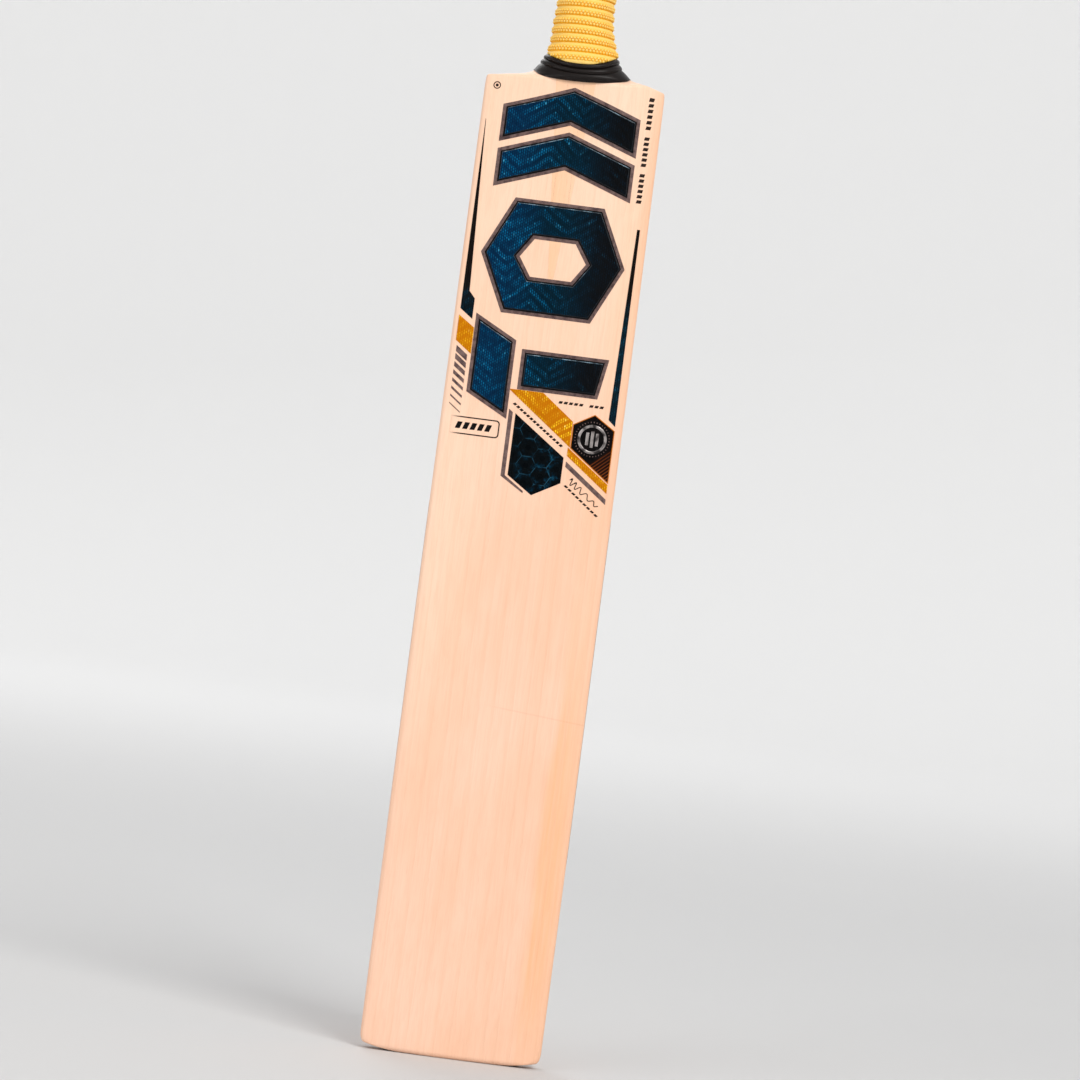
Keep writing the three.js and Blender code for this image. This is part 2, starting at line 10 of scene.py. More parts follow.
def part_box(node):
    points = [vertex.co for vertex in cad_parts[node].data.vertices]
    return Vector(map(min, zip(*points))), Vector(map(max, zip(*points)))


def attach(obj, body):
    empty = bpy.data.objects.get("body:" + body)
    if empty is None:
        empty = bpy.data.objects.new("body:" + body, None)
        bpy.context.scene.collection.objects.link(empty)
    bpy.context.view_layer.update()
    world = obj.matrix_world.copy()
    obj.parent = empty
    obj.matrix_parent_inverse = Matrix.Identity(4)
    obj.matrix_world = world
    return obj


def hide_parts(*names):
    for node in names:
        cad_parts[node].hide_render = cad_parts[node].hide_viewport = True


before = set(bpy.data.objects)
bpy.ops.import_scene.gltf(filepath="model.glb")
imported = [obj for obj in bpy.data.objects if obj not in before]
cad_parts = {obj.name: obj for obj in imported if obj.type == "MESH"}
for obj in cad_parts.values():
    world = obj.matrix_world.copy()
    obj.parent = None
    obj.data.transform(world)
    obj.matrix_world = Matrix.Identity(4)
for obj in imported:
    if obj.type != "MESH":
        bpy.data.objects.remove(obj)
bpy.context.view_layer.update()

MM = 0.001

# ------------------------------------------------------------------ places taken from the frame

_, BLADE_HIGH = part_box("blade")
_, GRIP_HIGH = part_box("grip_sleeve")
TWINE_LOW, TWINE_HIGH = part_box("twine_binding")
SPLICE_LOW, BAT_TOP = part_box("cane_slip_front_middle_centre")
SPRING_LOW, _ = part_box("rubber_spring_1")
BAT_LENGTH = BAT_TOP[2]
NECK_TOP = BLADE_HIGH[2]
WIDEST_HALF = BLADE_HIGH[0]

# ------------------------------------------------------------------ laws of the bat's shape

SHOULDER_Z = 570 * MM
WIDEST_Z = 200 * MM
TOE_HALF = WIDEST_HALF - 0.5 * MM
SHOULDER_HALF = WIDEST_HALF - 1.1 * MM
FACE_AT_ENDS = -8.5 * MM
BOW = 8 * MM
CROWN = 1.4 * MM
FRONT_ROUND = 3 * MM
BACK_ROUND = 3.5 * MM
FRONT_LIMIT = 0.94
BACK_LIMIT = 0.93
SPINE_POWER = 1.4
TOE_FLAT_HALF = 25 * MM
TOE_SAG = 3.3 * MM
TOE_SAG_HALF = 50 * MM
TOE_CORNER_TOP = 9.5 * MM
TOE_FRONT_ROUND = 3 * MM
TOE_BACK_ROUND = 6 * MM
SHOULDER_ROUND = 2.5 * MM
SHOULDER_BRIM = 0.8 * MM
NECK_STARTS = 0.4 * MM

# Thickness of the blade from the face: height, at the edges, at the spine.
THICKNESS = [
    [z * MM, edge * MM, spine * MM]
    for z, edge, spine in [
        (0, 17, 20), (40, 25, 33), (100, 33, 48), (180, 37.5, 60.5), (230, 38, 62),
        (320, 34, 54.5), (420, 28, 44), (520, 23.5, 36), (570, 22, 33),
    ]
]

NECK_LIMIT = 13.5 * MM
NECK_SWEEP = 1200
NECK_POWER = 1.6
NECK_ORIGIN = 561 * MM
NECK_SLIMMING = 1.1 * MM
OVAL_FROM = 570.6 * MM
OVAL_FULL = 574 * MM
NECK_HALF_DEPTH = 17.2 * MM
HANDLE_HALF_WIDTH = 13.4 * MM
HANDLE_HALF_DEPTH = 15.2 * MM
HANDLE_AT_SHOULDER = 8 * MM
HANDLE_LEAN = 0.045
SPLICE_TIP = 437 * MM
SPLICE_TIP_HALF = 1.5 * MM
SPLICE_SLOPE = 11.5 / 133
OVAL_EDGE = 0.002
SHOULDER_TILT = 0.025
SHOULDER_HUMP = 1.3 * MM
SHOULDER_DROP = 0.6 * MM
NECK_SHIFT = 1.8 * MM
NECK_SHIFT_AT_FOOT = 1.7


def clamp(t):
    return min(1.0, max(0.0, t))


def smooth(t):
    return t * t * (3 - 2 * t)


def ramp(value, start, reach):
    """Eases from 0 up to 1 as the value passes start; start and reach are in millimetres."""
    return smooth(clamp((value - start * MM) / (reach * MM)))


def through(column, z):
    """Smooth curve through the thickness stations, at height z."""
    last = len(THICKNESS) - 1
    if z >= THICKNESS[last][0]:
        return THICKNESS[last][column]
    k = 0
    while z > THICKNESS[k + 1][0]:
        k += 1
    a, b = THICKNESS[k], THICKNESS[k + 1]
    before, after = THICKNESS[max(0, k - 1)], THICKNESS[min(last, k + 2)]
    span = b[0] - a[0]
    slope_a = (b[column] - before[column]) / (b[0] - before[0])
    slope_b = (after[column] - a[column]) / (after[0] - a[0])
    t = max(0.0, (z - a[0]) / span)
    ends = a[column] * (1 - smooth(t)) + b[column] * smooth(t)
    return ends + span * (slope_a * t * (1 - t) ** 2 - slope_b * t * t * (1 - t))


def quarter_round(radius, height):
    if height >= radius:
        return 0.0
    return radius - math.sqrt(max(0.0, radius ** 2 - (radius - height) ** 2))


def face_middle(z):
    half = SHOULDER_Z / 2
    return FACE_AT_ENDS + BOW * (1 - ((min(z, SHOULDER_Z) - half) / half) ** 2)


def handle_middle(z):
    return HANDLE_AT_SHOULDER - HANDLE_LEAN * (z - SHOULDER_Z)


def toe_half_width(z):
    if z <= TOE_SAG:
        return TOE_FLAT_HALF + (TOE_SAG_HALF - TOE_FLAT_HALF) * math.sqrt(max(0.0, z) / TOE_SAG)
    t = (z - TOE_SAG) / (TOE_CORNER_TOP - TOE_SAG)
    return TOE_SAG_HALF + (TOE_HALF - TOE_SAG_HALF) * math.sqrt(1 - (1 - t) ** 2)


def blade_half_width(z):
    if z < TOE_CORNER_TOP:
        return toe_half_width(z)
    end = TOE_HALF if z < WIDEST_Z else SHOULDER_HALF
    reach = WIDEST_Z if z < WIDEST_Z else SHOULDER_Z - WIDEST_Z
    straight = WIDEST_HALF - (WIDEST_HALF - end) * ((z - WIDEST_Z) / reach) ** 2
    return straight - quarter_round(SHOULDER_ROUND, max(0.0, SHOULDER_Z + SHOULDER_BRIM - z))


def neck_half_width(z):
    slimmed = NECK_SLIMMING * ramp(z, 572, 6)
    return NECK_LIMIT + NECK_SWEEP * MM / ((z - NECK_ORIGIN) / MM) ** NECK_POWER - slimmed


def neck_half_depth(z):
    t = smooth(clamp((z - OVAL_FULL) / (NECK_TOP - OVAL_FULL)))
    return NECK_HALF_DEPTH + (HANDLE_HALF_DEPTH - NECK_HALF_DEPTH) * t


def half_width(z):
    if z < SHOULDER_Z + NECK_STARTS:
        return blade_half_width(z)
    return neck_half_width(z)


def spine_rise(fraction):
    t = max(0.0, 1 - abs(fraction) / BACK_LIMIT)
    return 0.5 * (1 - math.cos(math.pi * t ** SPINE_POWER))


def oval_share(z):
    return smooth(clamp((z - OVAL_FROM) / (OVAL_FULL - OVAL_FROM)))


def towards_oval(fraction, y, z, side):
    """Depth y of the blade's section, drawn towards the handle's oval above the shoulders."""
    oval = handle_middle(z) + side * neck_half_depth(z) * math.sqrt(max(OVAL_EDGE, 1 - fraction ** 2))
    return y + (oval - y) * oval_share(z)


def front_y(x, z):
    """The face of the blade, and of the splice and neck above it."""
    fraction = max(-1.0, min(1.0, x / half_width(z)))
    y = face_middle(z) + quarter_round(TOE_FRONT_ROUND, z) + CROWN * fraction ** 2
    return towards_oval(fraction, y, z, -1)


def back_y(x, z):
    """The back of the blade, between its edges."""
    fraction = max(-1.0, min(1.0, x / half_width(z)))
    lift = quarter_round(TOE_BACK_ROUND, z)
    edge, spine = through(1, z) - lift, through(2, z) - lift
    y = face_middle(z) + edge + (spine - edge) * spine_rise(fraction)
    return towards_oval(fraction, y, z, 1)


def edge_depths(z):
    """Where the flat of a side edge starts and ends, from the face to the back."""
    rim = face_middle(z) + quarter_round(TOE_FRONT_ROUND, z) + CROWN
    back = face_middle(z) + through(1, z) - quarter_round(TOE_BACK_ROUND, z)
    return rim + FRONT_ROUND, back - BACK_ROUND


def splice_half(z):
    """Half width of the handle's wedge between the two shoulders of the blade."""
    return min(HANDLE_HALF_WIDTH, max(SPLICE_TIP_HALF, SPLICE_SLOPE * (z - SPLICE_TIP)))


def leaning(point):
    """The shoulders rise a little to the right, and the neck and its rubber sit off the middle."""
    x, y, z = point
    fade = 1 - ramp(z, 588, 18)
    tilt = SHOULDER_TILT * ramp(z, 545, 20) * fade
    more = NECK_SHIFT_AT_FOOT - (NECK_SHIFT_AT_FOOT - 1) * ramp(z, 574, 10)
    shift = NECK_SHIFT * more * ramp(z, 571, 4) * fade
    hump = SHOULDER_HUMP * ramp(x, 28, 8) * ramp(-x, -50, 10)
    rise = ramp(z, 563, 5) * fade * (hump - SHOULDER_DROP * ramp(x, 46, 6))
    return Vector((x + shift, y, z + tilt * x + rise))


# ------------------------------------------------------------------ mesh tools

def mesh_from(name, verts, faces):
    mesh = bpy.data.meshes.new(name)
    mesh.from_pydata([tuple(v) for v in verts], [], faces)
    mesh.update()
    return mesh


def add_object(name, mesh):
    piece = bpy.data.objects.new(name, mesh)
    bpy.context.scene.collection.objects.link(piece)
    return piece


def tidy_normals(mesh, sharp_angle=35):
    """Merge doubles, turn every face outwards and shade smooth up to an angle."""
    bm = bmesh.new()
    bm.from_mesh(mesh)
    bmesh.ops.remove_doubles(bm, verts=bm.verts, dist=1e-6)
    bmesh.ops.recalc_face_normals(bm, faces=bm.faces)
    for face in bm.faces:
        face.smooth = True
    bm.to_mesh(mesh)
    bm.free()
    mesh.set_sharp_from_angle(angle=math.radians(sharp_angle))


def finish_piece(name, mesh, nodes, materials=(), sharp_angle=35):
    for vertex in mesh.vertices:
        vertex.co = leaning(vertex.co)
    tidy_normals(mesh, sharp_angle)
    for material in materials:
        mesh.materials.append(material)
    piece = add_object(name, mesh)
    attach(piece, "root")
    if nodes:
        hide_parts(*nodes)
    return piece


def loft(rings, closed=False):
    """Verts and faces of a surface through rings of equal count, capped unless it closes on itself."""
    count = len(rings[0])
    verts = [point for ring in rings for point in ring]
    faces = []
    steps = len(rings) if closed else len(rings) - 1
    for k in range(steps):
        a, b = k * count, ((k + 1) % len(rings)) * count
        for i in range(count):
            j = (i + 1) % count
            faces.append((a + i, a + j, b + j, b + i))
    if not closed:
        faces.append(tuple(reversed(range(count))))
        faces.append(tuple(range(len(verts) - count, len(verts))))
    return verts, faces


def slab(rows):
    """Closed solid between near and far walls: rows of (near points, far points)."""
    columns = len(rows[0][0])
    rings = [list(near) + list(reversed(far)) for near, far in rows]
    verts, faces = loft(rings)
    faces = faces[:-2]
    last = (len(rings) - 1) * 2 * columns
    for i in range(columns - 1):
        j = 2 * columns - 1 - i
        faces.append((i + 1, i, j, j - 1))
        faces.append((last + i, last + i + 1, last + j - 1, last + j))
    return verts, faces


def steps(low, high, count):
    return [low + (high - low) * k / (count - 1) for k in range(count)]


# ------------------------------------------------------------------ node tools

def plug(tree, socket, value):
    if isinstance(value, bpy.types.NodeSocket):
        tree.links.new(value, socket)
    else:
        socket.default_value = value


def node(tree, kind, settings=None, inputs=None):
    made = tree.nodes.new(kind)
    for name, value in (settings or {}).items():
        setattr(made, name, value)
    for name, value in (inputs or {}).items():
        plug(tree, made.inputs[name], value)
    return made


def calc(tree, operation, *values):
    made = node(tree, "ShaderNodeMath", {"operation": operation})
    for socket, value in zip(made.inputs, values):
        plug(tree, socket, value)
    return made.outputs[0]


def span(tree, value, low, high, to_low=0.0, to_high=1.0, kind="SMOOTHSTEP"):
    """Value from low to high, eased onto to_low to to_high."""
    inputs = {"Value": value, "From Min": low, "From Max": high, "To Min": to_low, "To Max": to_high}
    return node(tree, "ShaderNodeMapRange", {"interpolation_type": kind}, inputs).outputs["Result"]


def blend_colours(tree, factor, a, b, kind="MIX"):
    made = node(tree, "ShaderNodeMix", {"data_type": "RGBA", "blend_type": kind})
    for index, value in [(0, factor), (6, a), (7, b)]:
        plug(tree, made.inputs[index], value)
    return made.outputs[2]


def blend_values(tree, factor, a, b):
    return calc(tree, "MULTIPLY_ADD", factor, calc(tree, "SUBTRACT", b, a), a)


def noise(tree, vector, scale, detail=2.0, roughness=0.5):
    inputs = {"Vector": vector, "Scale": scale, "Detail": detail, "Roughness": roughness}
    return node(tree, "ShaderNodeTexNoise", {}, inputs).outputs["Fac"]


def stretched(tree, vector, x, y, z):
    return node(tree, "ShaderNodeMapping", {}, {"Vector": vector, "Scale": (x, y, z)}).outputs[0]


def luck_of(tree, column, row):
    """Random value, 0 to 1, fixed for each cell of a grid."""
    cell = node(tree, "ShaderNodeCombineXYZ", {}, {"X": column, "Y": row}).outputs[0]
    made = node(tree, "ShaderNodeTexWhiteNoise", {"noise_dimensions": "3D"}, {"Vector": cell})
    return made.outputs["Value"]


def parts_of(tree, vector):
    made = node(tree, "ShaderNodeSeparateXYZ", {}, {"Vector": vector})
    return made.outputs["X"], made.outputs["Y"], made.outputs["Z"]


def shared_group(name, inputs, outputs):
    """Empty shader group with named sockets; returns it, its inputs and its outputs."""
    tree = bpy.data.node_groups.new(name, "ShaderNodeTree")
    for label, kind, value in inputs:
        socket = tree.interface.new_socket(label, in_out="INPUT", socket_type=kind)
        if kind == "NodeSocketFloat":
            socket.default_value = value
    for label, kind in outputs:
        tree.interface.new_socket(label, in_out="OUTPUT", socket_type=kind)
    return tree, node(tree, "NodeGroupInput").outputs, node(tree, "NodeGroupOutput").inputs


def use_group(tree, group, inputs):
    made = node(tree, "ShaderNodeGroup", {"node_tree": group})
    for name, value in inputs.items():
        plug(tree, made.inputs[name], value)
    return made.outputs


FLOAT = "NodeSocketFloat"
VECTOR = "NodeSocketVector"


# ------------------------------------------------------------------ shared shader groups

def make_wood_grain():
    """Straight grain along Z: growth rings across X, fibres, and short dark flecks."""
    tree, ins, outs = shared_group("wood_grain", [
        ("Vector", VECTOR, None), ("Ring Spacing", FLOAT, 0.01), ("Wander", FLOAT, 0.004),
        ("Fibre Width", FLOAT, 0.0008), ("Fleck Density", FLOAT, 0.3),
    ], [("Ring", FLOAT), ("Fibre", FLOAT), ("Fleck", FLOAT), ("Cloud", FLOAT)])
    slow = stretched(tree, ins["Vector"], 1.0, 1.0, 0.22)
    drift = calc(tree, "SUBTRACT", noise(tree, slow, 9.0, 2.0), 0.5)
    x, _, _ = parts_of(tree, ins["Vector"])
    uneven = node(tree, "ShaderNodeCombineXYZ", {}, {"X": x}).outputs[0]
    pitch_drift = calc(tree, "SUBTRACT", noise(tree, uneven, 28.0, 1.0), 0.5)
    moved = calc(tree, "MULTIPLY_ADD", drift, ins["Wander"], x)
    moved = calc(tree, "MULTIPLY_ADD", pitch_drift, calc(tree, "MULTIPLY", ins["Wander"], 4.0), moved)
    cycle = calc(tree, "FRACT", calc(tree, "DIVIDE", moved, ins["Ring Spacing"]))
    late = span(tree, cycle, 0.45, 0.94)
    drop = span(tree, cycle, 0.94, 1.0, 1.0, 0.0)
    plug(tree, outs["Ring"], calc(tree, "MULTIPLY", calc(tree, "POWER", late, 2.2), drop))
    fine = stretched(tree, ins["Vector"], 1.0, 1.0, 0.012)
    per_fibre = calc(tree, "DIVIDE", 0.45, ins["Fibre Width"])
    plug(tree, outs["Fibre"], noise(tree, fine, per_fibre, 3.0, 0.6))
    short = stretched(tree, ins["Vector"], 1.0, 1.0, 0.07)
    specks = noise(tree, short, calc(tree, "MULTIPLY", per_fibre, 2.4), 1.0, 0.4)
    edge = calc(tree, "SUBTRACT", 0.78, calc(tree, "MULTIPLY", ins["Fleck Density"], 0.2))
    plug(tree, outs["Fleck"], span(tree, specks, edge, calc(tree, "ADD", edge, 0.06)))
    broad = stretched(tree, ins["Vector"], 1.0, 1.0, 0.3)
    plug(tree, outs["Cloud"], noise(tree, broad, 26.0, 3.0, 0.55))
    return tree


def make_skin_wear():
    """Handling marks: faint smudges, fine specks and rubbed high edges. On the grey film the smudges and
    rubbed edges also stand for painted highlights.
    """
    tree, ins, outs = shared_group("skin_wear", [
        ("Vector", VECTOR, None), ("Smudge Size", FLOAT, 0.02), ("Speck Size", FLOAT, 0.0006),
        ("Edge Reach", FLOAT, 0.04),
    ], [("Smudge", FLOAT), ("Speck", FLOAT), ("Rubbed", FLOAT)])
    smudge_scale = calc(tree, "DIVIDE", 1.0, ins["Smudge Size"])
    plug(tree, outs["Smudge"], noise(tree, ins["Vector"], smudge_scale, 4.0, 0.6))
    speck_scale = calc(tree, "DIVIDE", 0.5, ins["Speck Size"])
    plug(tree, outs["Speck"], noise(tree, ins["Vector"], speck_scale, 1.0, 0.5))
    edge = node(tree, "ShaderNodeNewGeometry").outputs["Pointiness"]
    rubbed = span(tree, edge, 0.5, calc(tree, "ADD", 0.5, ins["Edge Reach"]))
    wear_and_highlight = span(tree, noise(tree, ins["Vector"], 420.0, 2.0), 0.35, 0.7)
    plug(tree, outs["Rubbed"], calc(tree, "MULTIPLY", rubbed, wear_and_highlight))
    return tree


def make_woven_foil():
    """Embossed foil: beaded ribs along Z, lit in slanting bands that fold into a herringbone."""
    tree, ins, outs = shared_group("woven_foil", [
        ("Vector", VECTOR, None), ("Rib Pitch", FLOAT, 0.0012), ("Bead Length", FLOAT, 0.0016),
        ("Band Width", FLOAT, 0.005), ("Fold Width", FLOAT, 0.016), ("Slope", FLOAT, 0.8),
        ("Evenness", FLOAT, 0.4),
    ], [("Thread", FLOAT), ("Band", FLOAT), ("Rib", FLOAT), ("Spark", FLOAT)])
    x, _, z = parts_of(tree, ins["Vector"])
    across = calc(tree, "DIVIDE", x, ins["Rib Pitch"])
    column = calc(tree, "FLOOR", across)
    rib = calc(tree, "PINGPONG", calc(tree, "FRACT", across), 0.5)
    plug(tree, outs["Rib"], span(tree, rib, 0.06, 0.42))
    along = calc(tree, "DIVIDE", z, ins["Bead Length"])
    along = calc(tree, "MULTIPLY_ADD", calc(tree, "MODULO", column, 2.0), 0.5, along)
    bead = calc(tree, "PINGPONG", calc(tree, "FRACT", along), 0.5)
    pick = luck_of(tree, column, calc(tree, "FLOOR", along))
    stray = calc(tree, "SUBTRACT", noise(tree, ins["Vector"], 62.0, 2.0, 0.6), 0.5)
    across_folds = calc(tree, "MULTIPLY_ADD", stray, 0.007, calc(tree, "ADD", x, 1.0))
    fold = calc(tree, "PINGPONG", across_folds, ins["Fold Width"])
    slope = calc(tree, "MULTIPLY_ADD", fold, ins["Slope"], z)
    wobble = calc(tree, "SUBTRACT", noise(tree, ins["Vector"], 45.0, 1.0), 0.5)
    slope = calc(tree, "MULTIPLY_ADD", wobble, 0.007, slope)
    level = calc(tree, "DIVIDE", slope, ins["Band Width"])
    strip = calc(tree, "PINGPONG", level, 0.5)
    side = calc(tree, "FLOOR", calc(tree, "DIVIDE", across_folds, ins["Fold Width"]))
    luck = luck_of(tree, side, calc(tree, "FLOOR", level))
    lit = span(tree, luck, 0.15, 0.8, 0.25, 1.0, "LINEAR")
    band = calc(tree, "MULTIPLY", span(tree, strip, 0.13, 0.33), lit)
    calm = span(tree, noise(tree, ins["Vector"], 38.0, 2.0), 0.4, 0.6)
    calm = calc(tree, "MULTIPLY", calm, ins["Evenness"])
    even = calc(tree, "MULTIPLY", span(tree, noise(tree, ins["Vector"], 70.0, 1.0), 0.35, 0.65), 0.7)
    broken = span(tree, noise(tree, ins["Vector"], 330.0, 2.0, 0.7), 0.36, 0.6, 0.3, 1.0)
    plug(tree, outs["Band"], calc(tree, "MULTIPLY", blend_values(tree, calm, band, even), broken))
    body = calc(tree, "MULTIPLY", span(tree, rib, 0.1, 0.34), span(tree, bead, 0.03, 0.3, 0.22, 1.0))
    uneven = span(tree, pick, 0.0, 1.0, 0.35, 1.0, "LINEAR")
    plug(tree, outs["Thread"], calc(tree, "MULTIPLY", body, uneven))
    glints = calc(tree, "MULTIPLY", span(tree, pick, 0.9, 1.0), band)
    plug(tree, outs["Spark"], calc(tree, "MULTIPLY", body, glints))
    return tree


def make_honeycomb():
    """Six-sided cells in the X-Z plane: a thin line on their sides, broken here and there."""
    tree, ins, outs = shared_group("honeycomb", [
        ("Vector", VECTOR, None), ("Cell Size", FLOAT, 0.0085), ("Line Width", FLOAT, 0.05),
    ], [("Line", FLOAT), ("Cell", FLOAT)])
    x, _, z = parts_of(tree, ins["Vector"])
    u = calc(tree, "DIVIDE", calc(tree, "ADD", z, 1.0), ins["Cell Size"])
    v = calc(tree, "DIVIDE", calc(tree, "ADD", x, 1.0), ins["Cell Size"])
    tall = math.sqrt(3)

    def corner(value, size, shift):
        moved = calc(tree, "SUBTRACT", value, shift * size)
        return calc(tree, "SUBTRACT", calc(tree, "FLOORED_MODULO", moved, size), size / 2)

    def far(pair):
        a, b = (calc(tree, "ABSOLUTE", value) for value in pair)
        slanted = calc(tree, "MULTIPLY_ADD", b, tall / 2, calc(tree, "MULTIPLY", a, 0.5))
        return calc(tree, "MAXIMUM", a, slanted)

    first = far((corner(u, 1.0, 0.0), corner(v, tall, 0.0)))
    second = far((corner(u, 1.0, 0.5), corner(v, tall, 0.5)))
    nearest = calc(tree, "MINIMUM", first, second)
    start = calc(tree, "SUBTRACT", 0.5, ins["Line Width"])
    line = span(tree, nearest, start, 0.5)
    gaps = span(tree, noise(tree, ins["Vector"], 190.0, 2.0), 0.4, 0.6, 0.08, 1.0)
    plug(tree, outs["Line"], calc(tree, "MULTIPLY", line, gaps))
    plug(tree, outs["Cell"], nearest)
    return tree


WOOD_GRAIN = make_wood_grain()
SKIN_WEAR = make_skin_wear()
WOVEN_FOIL = make_woven_foil()
HONEYCOMB = make_honeycomb()


# ------------------------------------------------------------------ materials

def linear(red, green, blue):
    """Colour as seen on a screen, 0 to 255, turned into the light values that a shader uses."""
    def one(value):
        c = value / 255
        return c / 12.92 if c <= 0.04045 else ((c + 0.055) / 1.055) ** 2.4
    return (one(red), one(green), one(blue), 1.0)


def new_material(name, roughness, settings=None):
    """Material with one Principled shader; returns it, its tree, the shader and Object coordinates."""
    material = bpy.data.materials.new(name)
    material.use_nodes = True
    tree = material.node_tree
    shader = tree.nodes["Principled BSDF"]
    shader.inputs["Roughness"].default_value = roughness
    for label, value in (settings or {}).items():
        shader.inputs[label].default_value = value
    place = node(tree, "ShaderNodeTexCoord").outputs["Object"]
    return material, tree, shader, place


def raise_surface(tree, shader, height, distance, strength=1.0):
    inputs = {"Height": height, "Distance": distance, "Strength": strength}
    plug(tree, shader.inputs["Normal"], node(tree, "ShaderNodeBump", {}, inputs).outputs["Normal"])


# Bands of colour in the blade, in metres across (x) or up (z), each from where it starts to where
# it is full.
HEART_STARTS, HEART_FADES = (0.0395, 0.0455), (0.051, 0.058)
HEART_TOP, HEART_TOE = (0.14, 0.3), (0.0, 0.07)
# Painted shade: the edge band set here darkens the upper right edge of the face.
EDGE_SHADE_ACROSS, EDGE_SHADE_UP = (0.044, 0.052), (0.3, 0.46)
PALE_TOP_UP, PALE_TOP_ACROSS = (0.24, 0.56), (0.042, 0.052)
PALE_LEFT_ACROSS, PALE_LEFT_UP = (-0.05, 0.0), (0.1, 0.3)
SCRATCH_SLOPE, SCRATCH_HEIGHT = -0.08, 0.2055


def willow():
    """Pale bleached willow, with a warm heartwood band on the right of the blade and painted shade along
    its upper right edge.
    """
    material, tree, shader, place = new_material("willow", 0.5, {"Specular IOR Level": 0.35})
    grain = use_group(tree, WOOD_GRAIN, {
        "Vector": place, "Ring Spacing": 0.0088, "Wander": 0.006, "Fibre Width": 0.0009,
        "Fleck Density": 0.2,
    })
    x, _, z = parts_of(tree, place)
    pale, warm = linear(250, 208, 182), linear(246, 197, 166)
    wood = blend_colours(tree, span(tree, grain["Cloud"], 0.3, 0.72), pale, warm)
    side = calc(tree, "MULTIPLY_ADD", grain["Cloud"], 0.012, x)
    heart = span(tree, side, *HEART_STARTS)
    heart = calc(tree, "MULTIPLY", heart, span(tree, side, *HEART_FADES, 1.0, 0.45))
    strands = span(tree, grain["Fibre"], 0.3, 0.7, 0.55, 1.0, "LINEAR")
    reach = span(tree, z, *HEART_TOP, 1.0, 0.15)
    reach = calc(tree, "MULTIPLY", reach, span(tree, z, *HEART_TOE, 0.3, 1.0))
    heart = calc(tree, "MULTIPLY", calc(tree, "MULTIPLY", heart, strands), reach)
    wood = blend_colours(tree, heart, wood, linear(249, 187, 141))
    # Painted shade: a darker, warmer band along the upper right edge of the face, where it rolls off to
    # the side.
    right_tint = span(tree, x, *EDGE_SHADE_ACROSS, 0.0, 0.15)
    right_tint = calc(tree, "MULTIPLY", right_tint, span(tree, z, *EDGE_SHADE_UP, 1.0, 2.4))
    wood = blend_colours(tree, right_tint, wood, linear(246, 184, 138))
    wood = blend_colours(tree, calc(tree, "MULTIPLY", grain["Ring"], 0.13), wood, linear(232, 170, 128))
    fibre = span(tree, grain["Fibre"], 0.3, 0.75, 0.0, 0.17, "LINEAR")
    wood = blend_colours(tree, fibre, wood, linear(236, 184, 148))
    top = span(tree, z, *PALE_TOP_UP, 0.0, 0.36)
    top = calc(tree, "MULTIPLY", top, span(tree, x, *PALE_TOP_ACROSS, 1.0, 0.3))
    left = span(tree, x, *PALE_LEFT_ACROSS, 0.3, 0.0)
    left = calc(tree, "MULTIPLY", left, span(tree, z, *PALE_LEFT_UP))
    wood = blend_colours(tree, calc(tree, "MAXIMUM", top, left), wood, linear(255, 226, 198))
    fleck = calc(tree, "MULTIPLY", grain["Fleck"], 0.14)
    wood = blend_colours(tree, fleck, wood, linear(190, 130, 86))
    pores = noise(tree, stretched(tree, place, 1.0, 1.0, 0.04), 1100.0, 3.0, 0.7)
    wood = blend_colours(tree, span(tree, pores, 0.4, 0.68, 0.0, 0.2), wood, linear(232, 172, 138))
    scratch = calc(tree, "MULTIPLY_ADD", x, SCRATCH_SLOPE, SCRATCH_HEIGHT)
    off = calc(tree, "ABSOLUTE", calc(tree, "SUBTRACT", z, scratch))
    mark = span(tree, off, 0.0002, 0.0007, 0.16, 0.0)
    mark = calc(tree, "MULTIPLY", mark, span(tree, x, -0.01, 0.01))
    wood = blend_colours(tree, mark, wood, linear(214, 150, 112))
    plug(tree, shader.inputs["Base Color"], wood)
    plug(tree, shader.inputs["Roughness"], span(tree, grain["Fibre"], 0.2, 0.8, 0.42, 0.6, "LINEAR"))
    depth = calc(tree, "SUBTRACT", grain["Fibre"], calc(tree, "MULTIPLY", grain["Ring"], 0.6))
    raise_surface(tree, shader, depth, 0.00012)
    return material


def cane():
    """Split cane: warm straw with long dark fibre bundles."""
    material, tree, shader, place = new_material("cane", 0.5, {"Specular IOR Level": 0.35})
    grain = use_group(tree, WOOD_GRAIN, {
        "Vector": place, "Ring Spacing": 0.0046, "Wander": 0.002, "Fibre Width": 0.0005,
        "Fleck Density": 0.9,
    })
    _, _, z = parts_of(tree, place)
    straw = blend_colours(tree, span(tree, grain["Cloud"], 0.3, 0.7), linear(251, 210, 180),
                          linear(248, 199, 160))
    bare = span(tree, z, 0.566, 0.6)
    straw = blend_colours(tree, bare, straw, linear(205, 160, 104))
    straw = blend_colours(tree, span(tree, grain["Fibre"], 0.3, 0.75, 0.0, 0.36, "LINEAR"), straw,
                          linear(240, 182, 138))
    dark = calc(tree, "MULTIPLY", grain["Fleck"], calc(tree, "MULTIPLY_ADD", bare, 0.34, 0.06))
    straw = blend_colours(tree, dark, straw, linear(140, 88, 46))
    plug(tree, shader.inputs["Base Color"], straw)
    plug(tree, shader.inputs["Roughness"], span(tree, grain["Fibre"], 0.2, 0.8, 0.4, 0.62, "LINEAR"))
    raise_surface(tree, shader, grain["Fibre"], 0.0001)
    return material


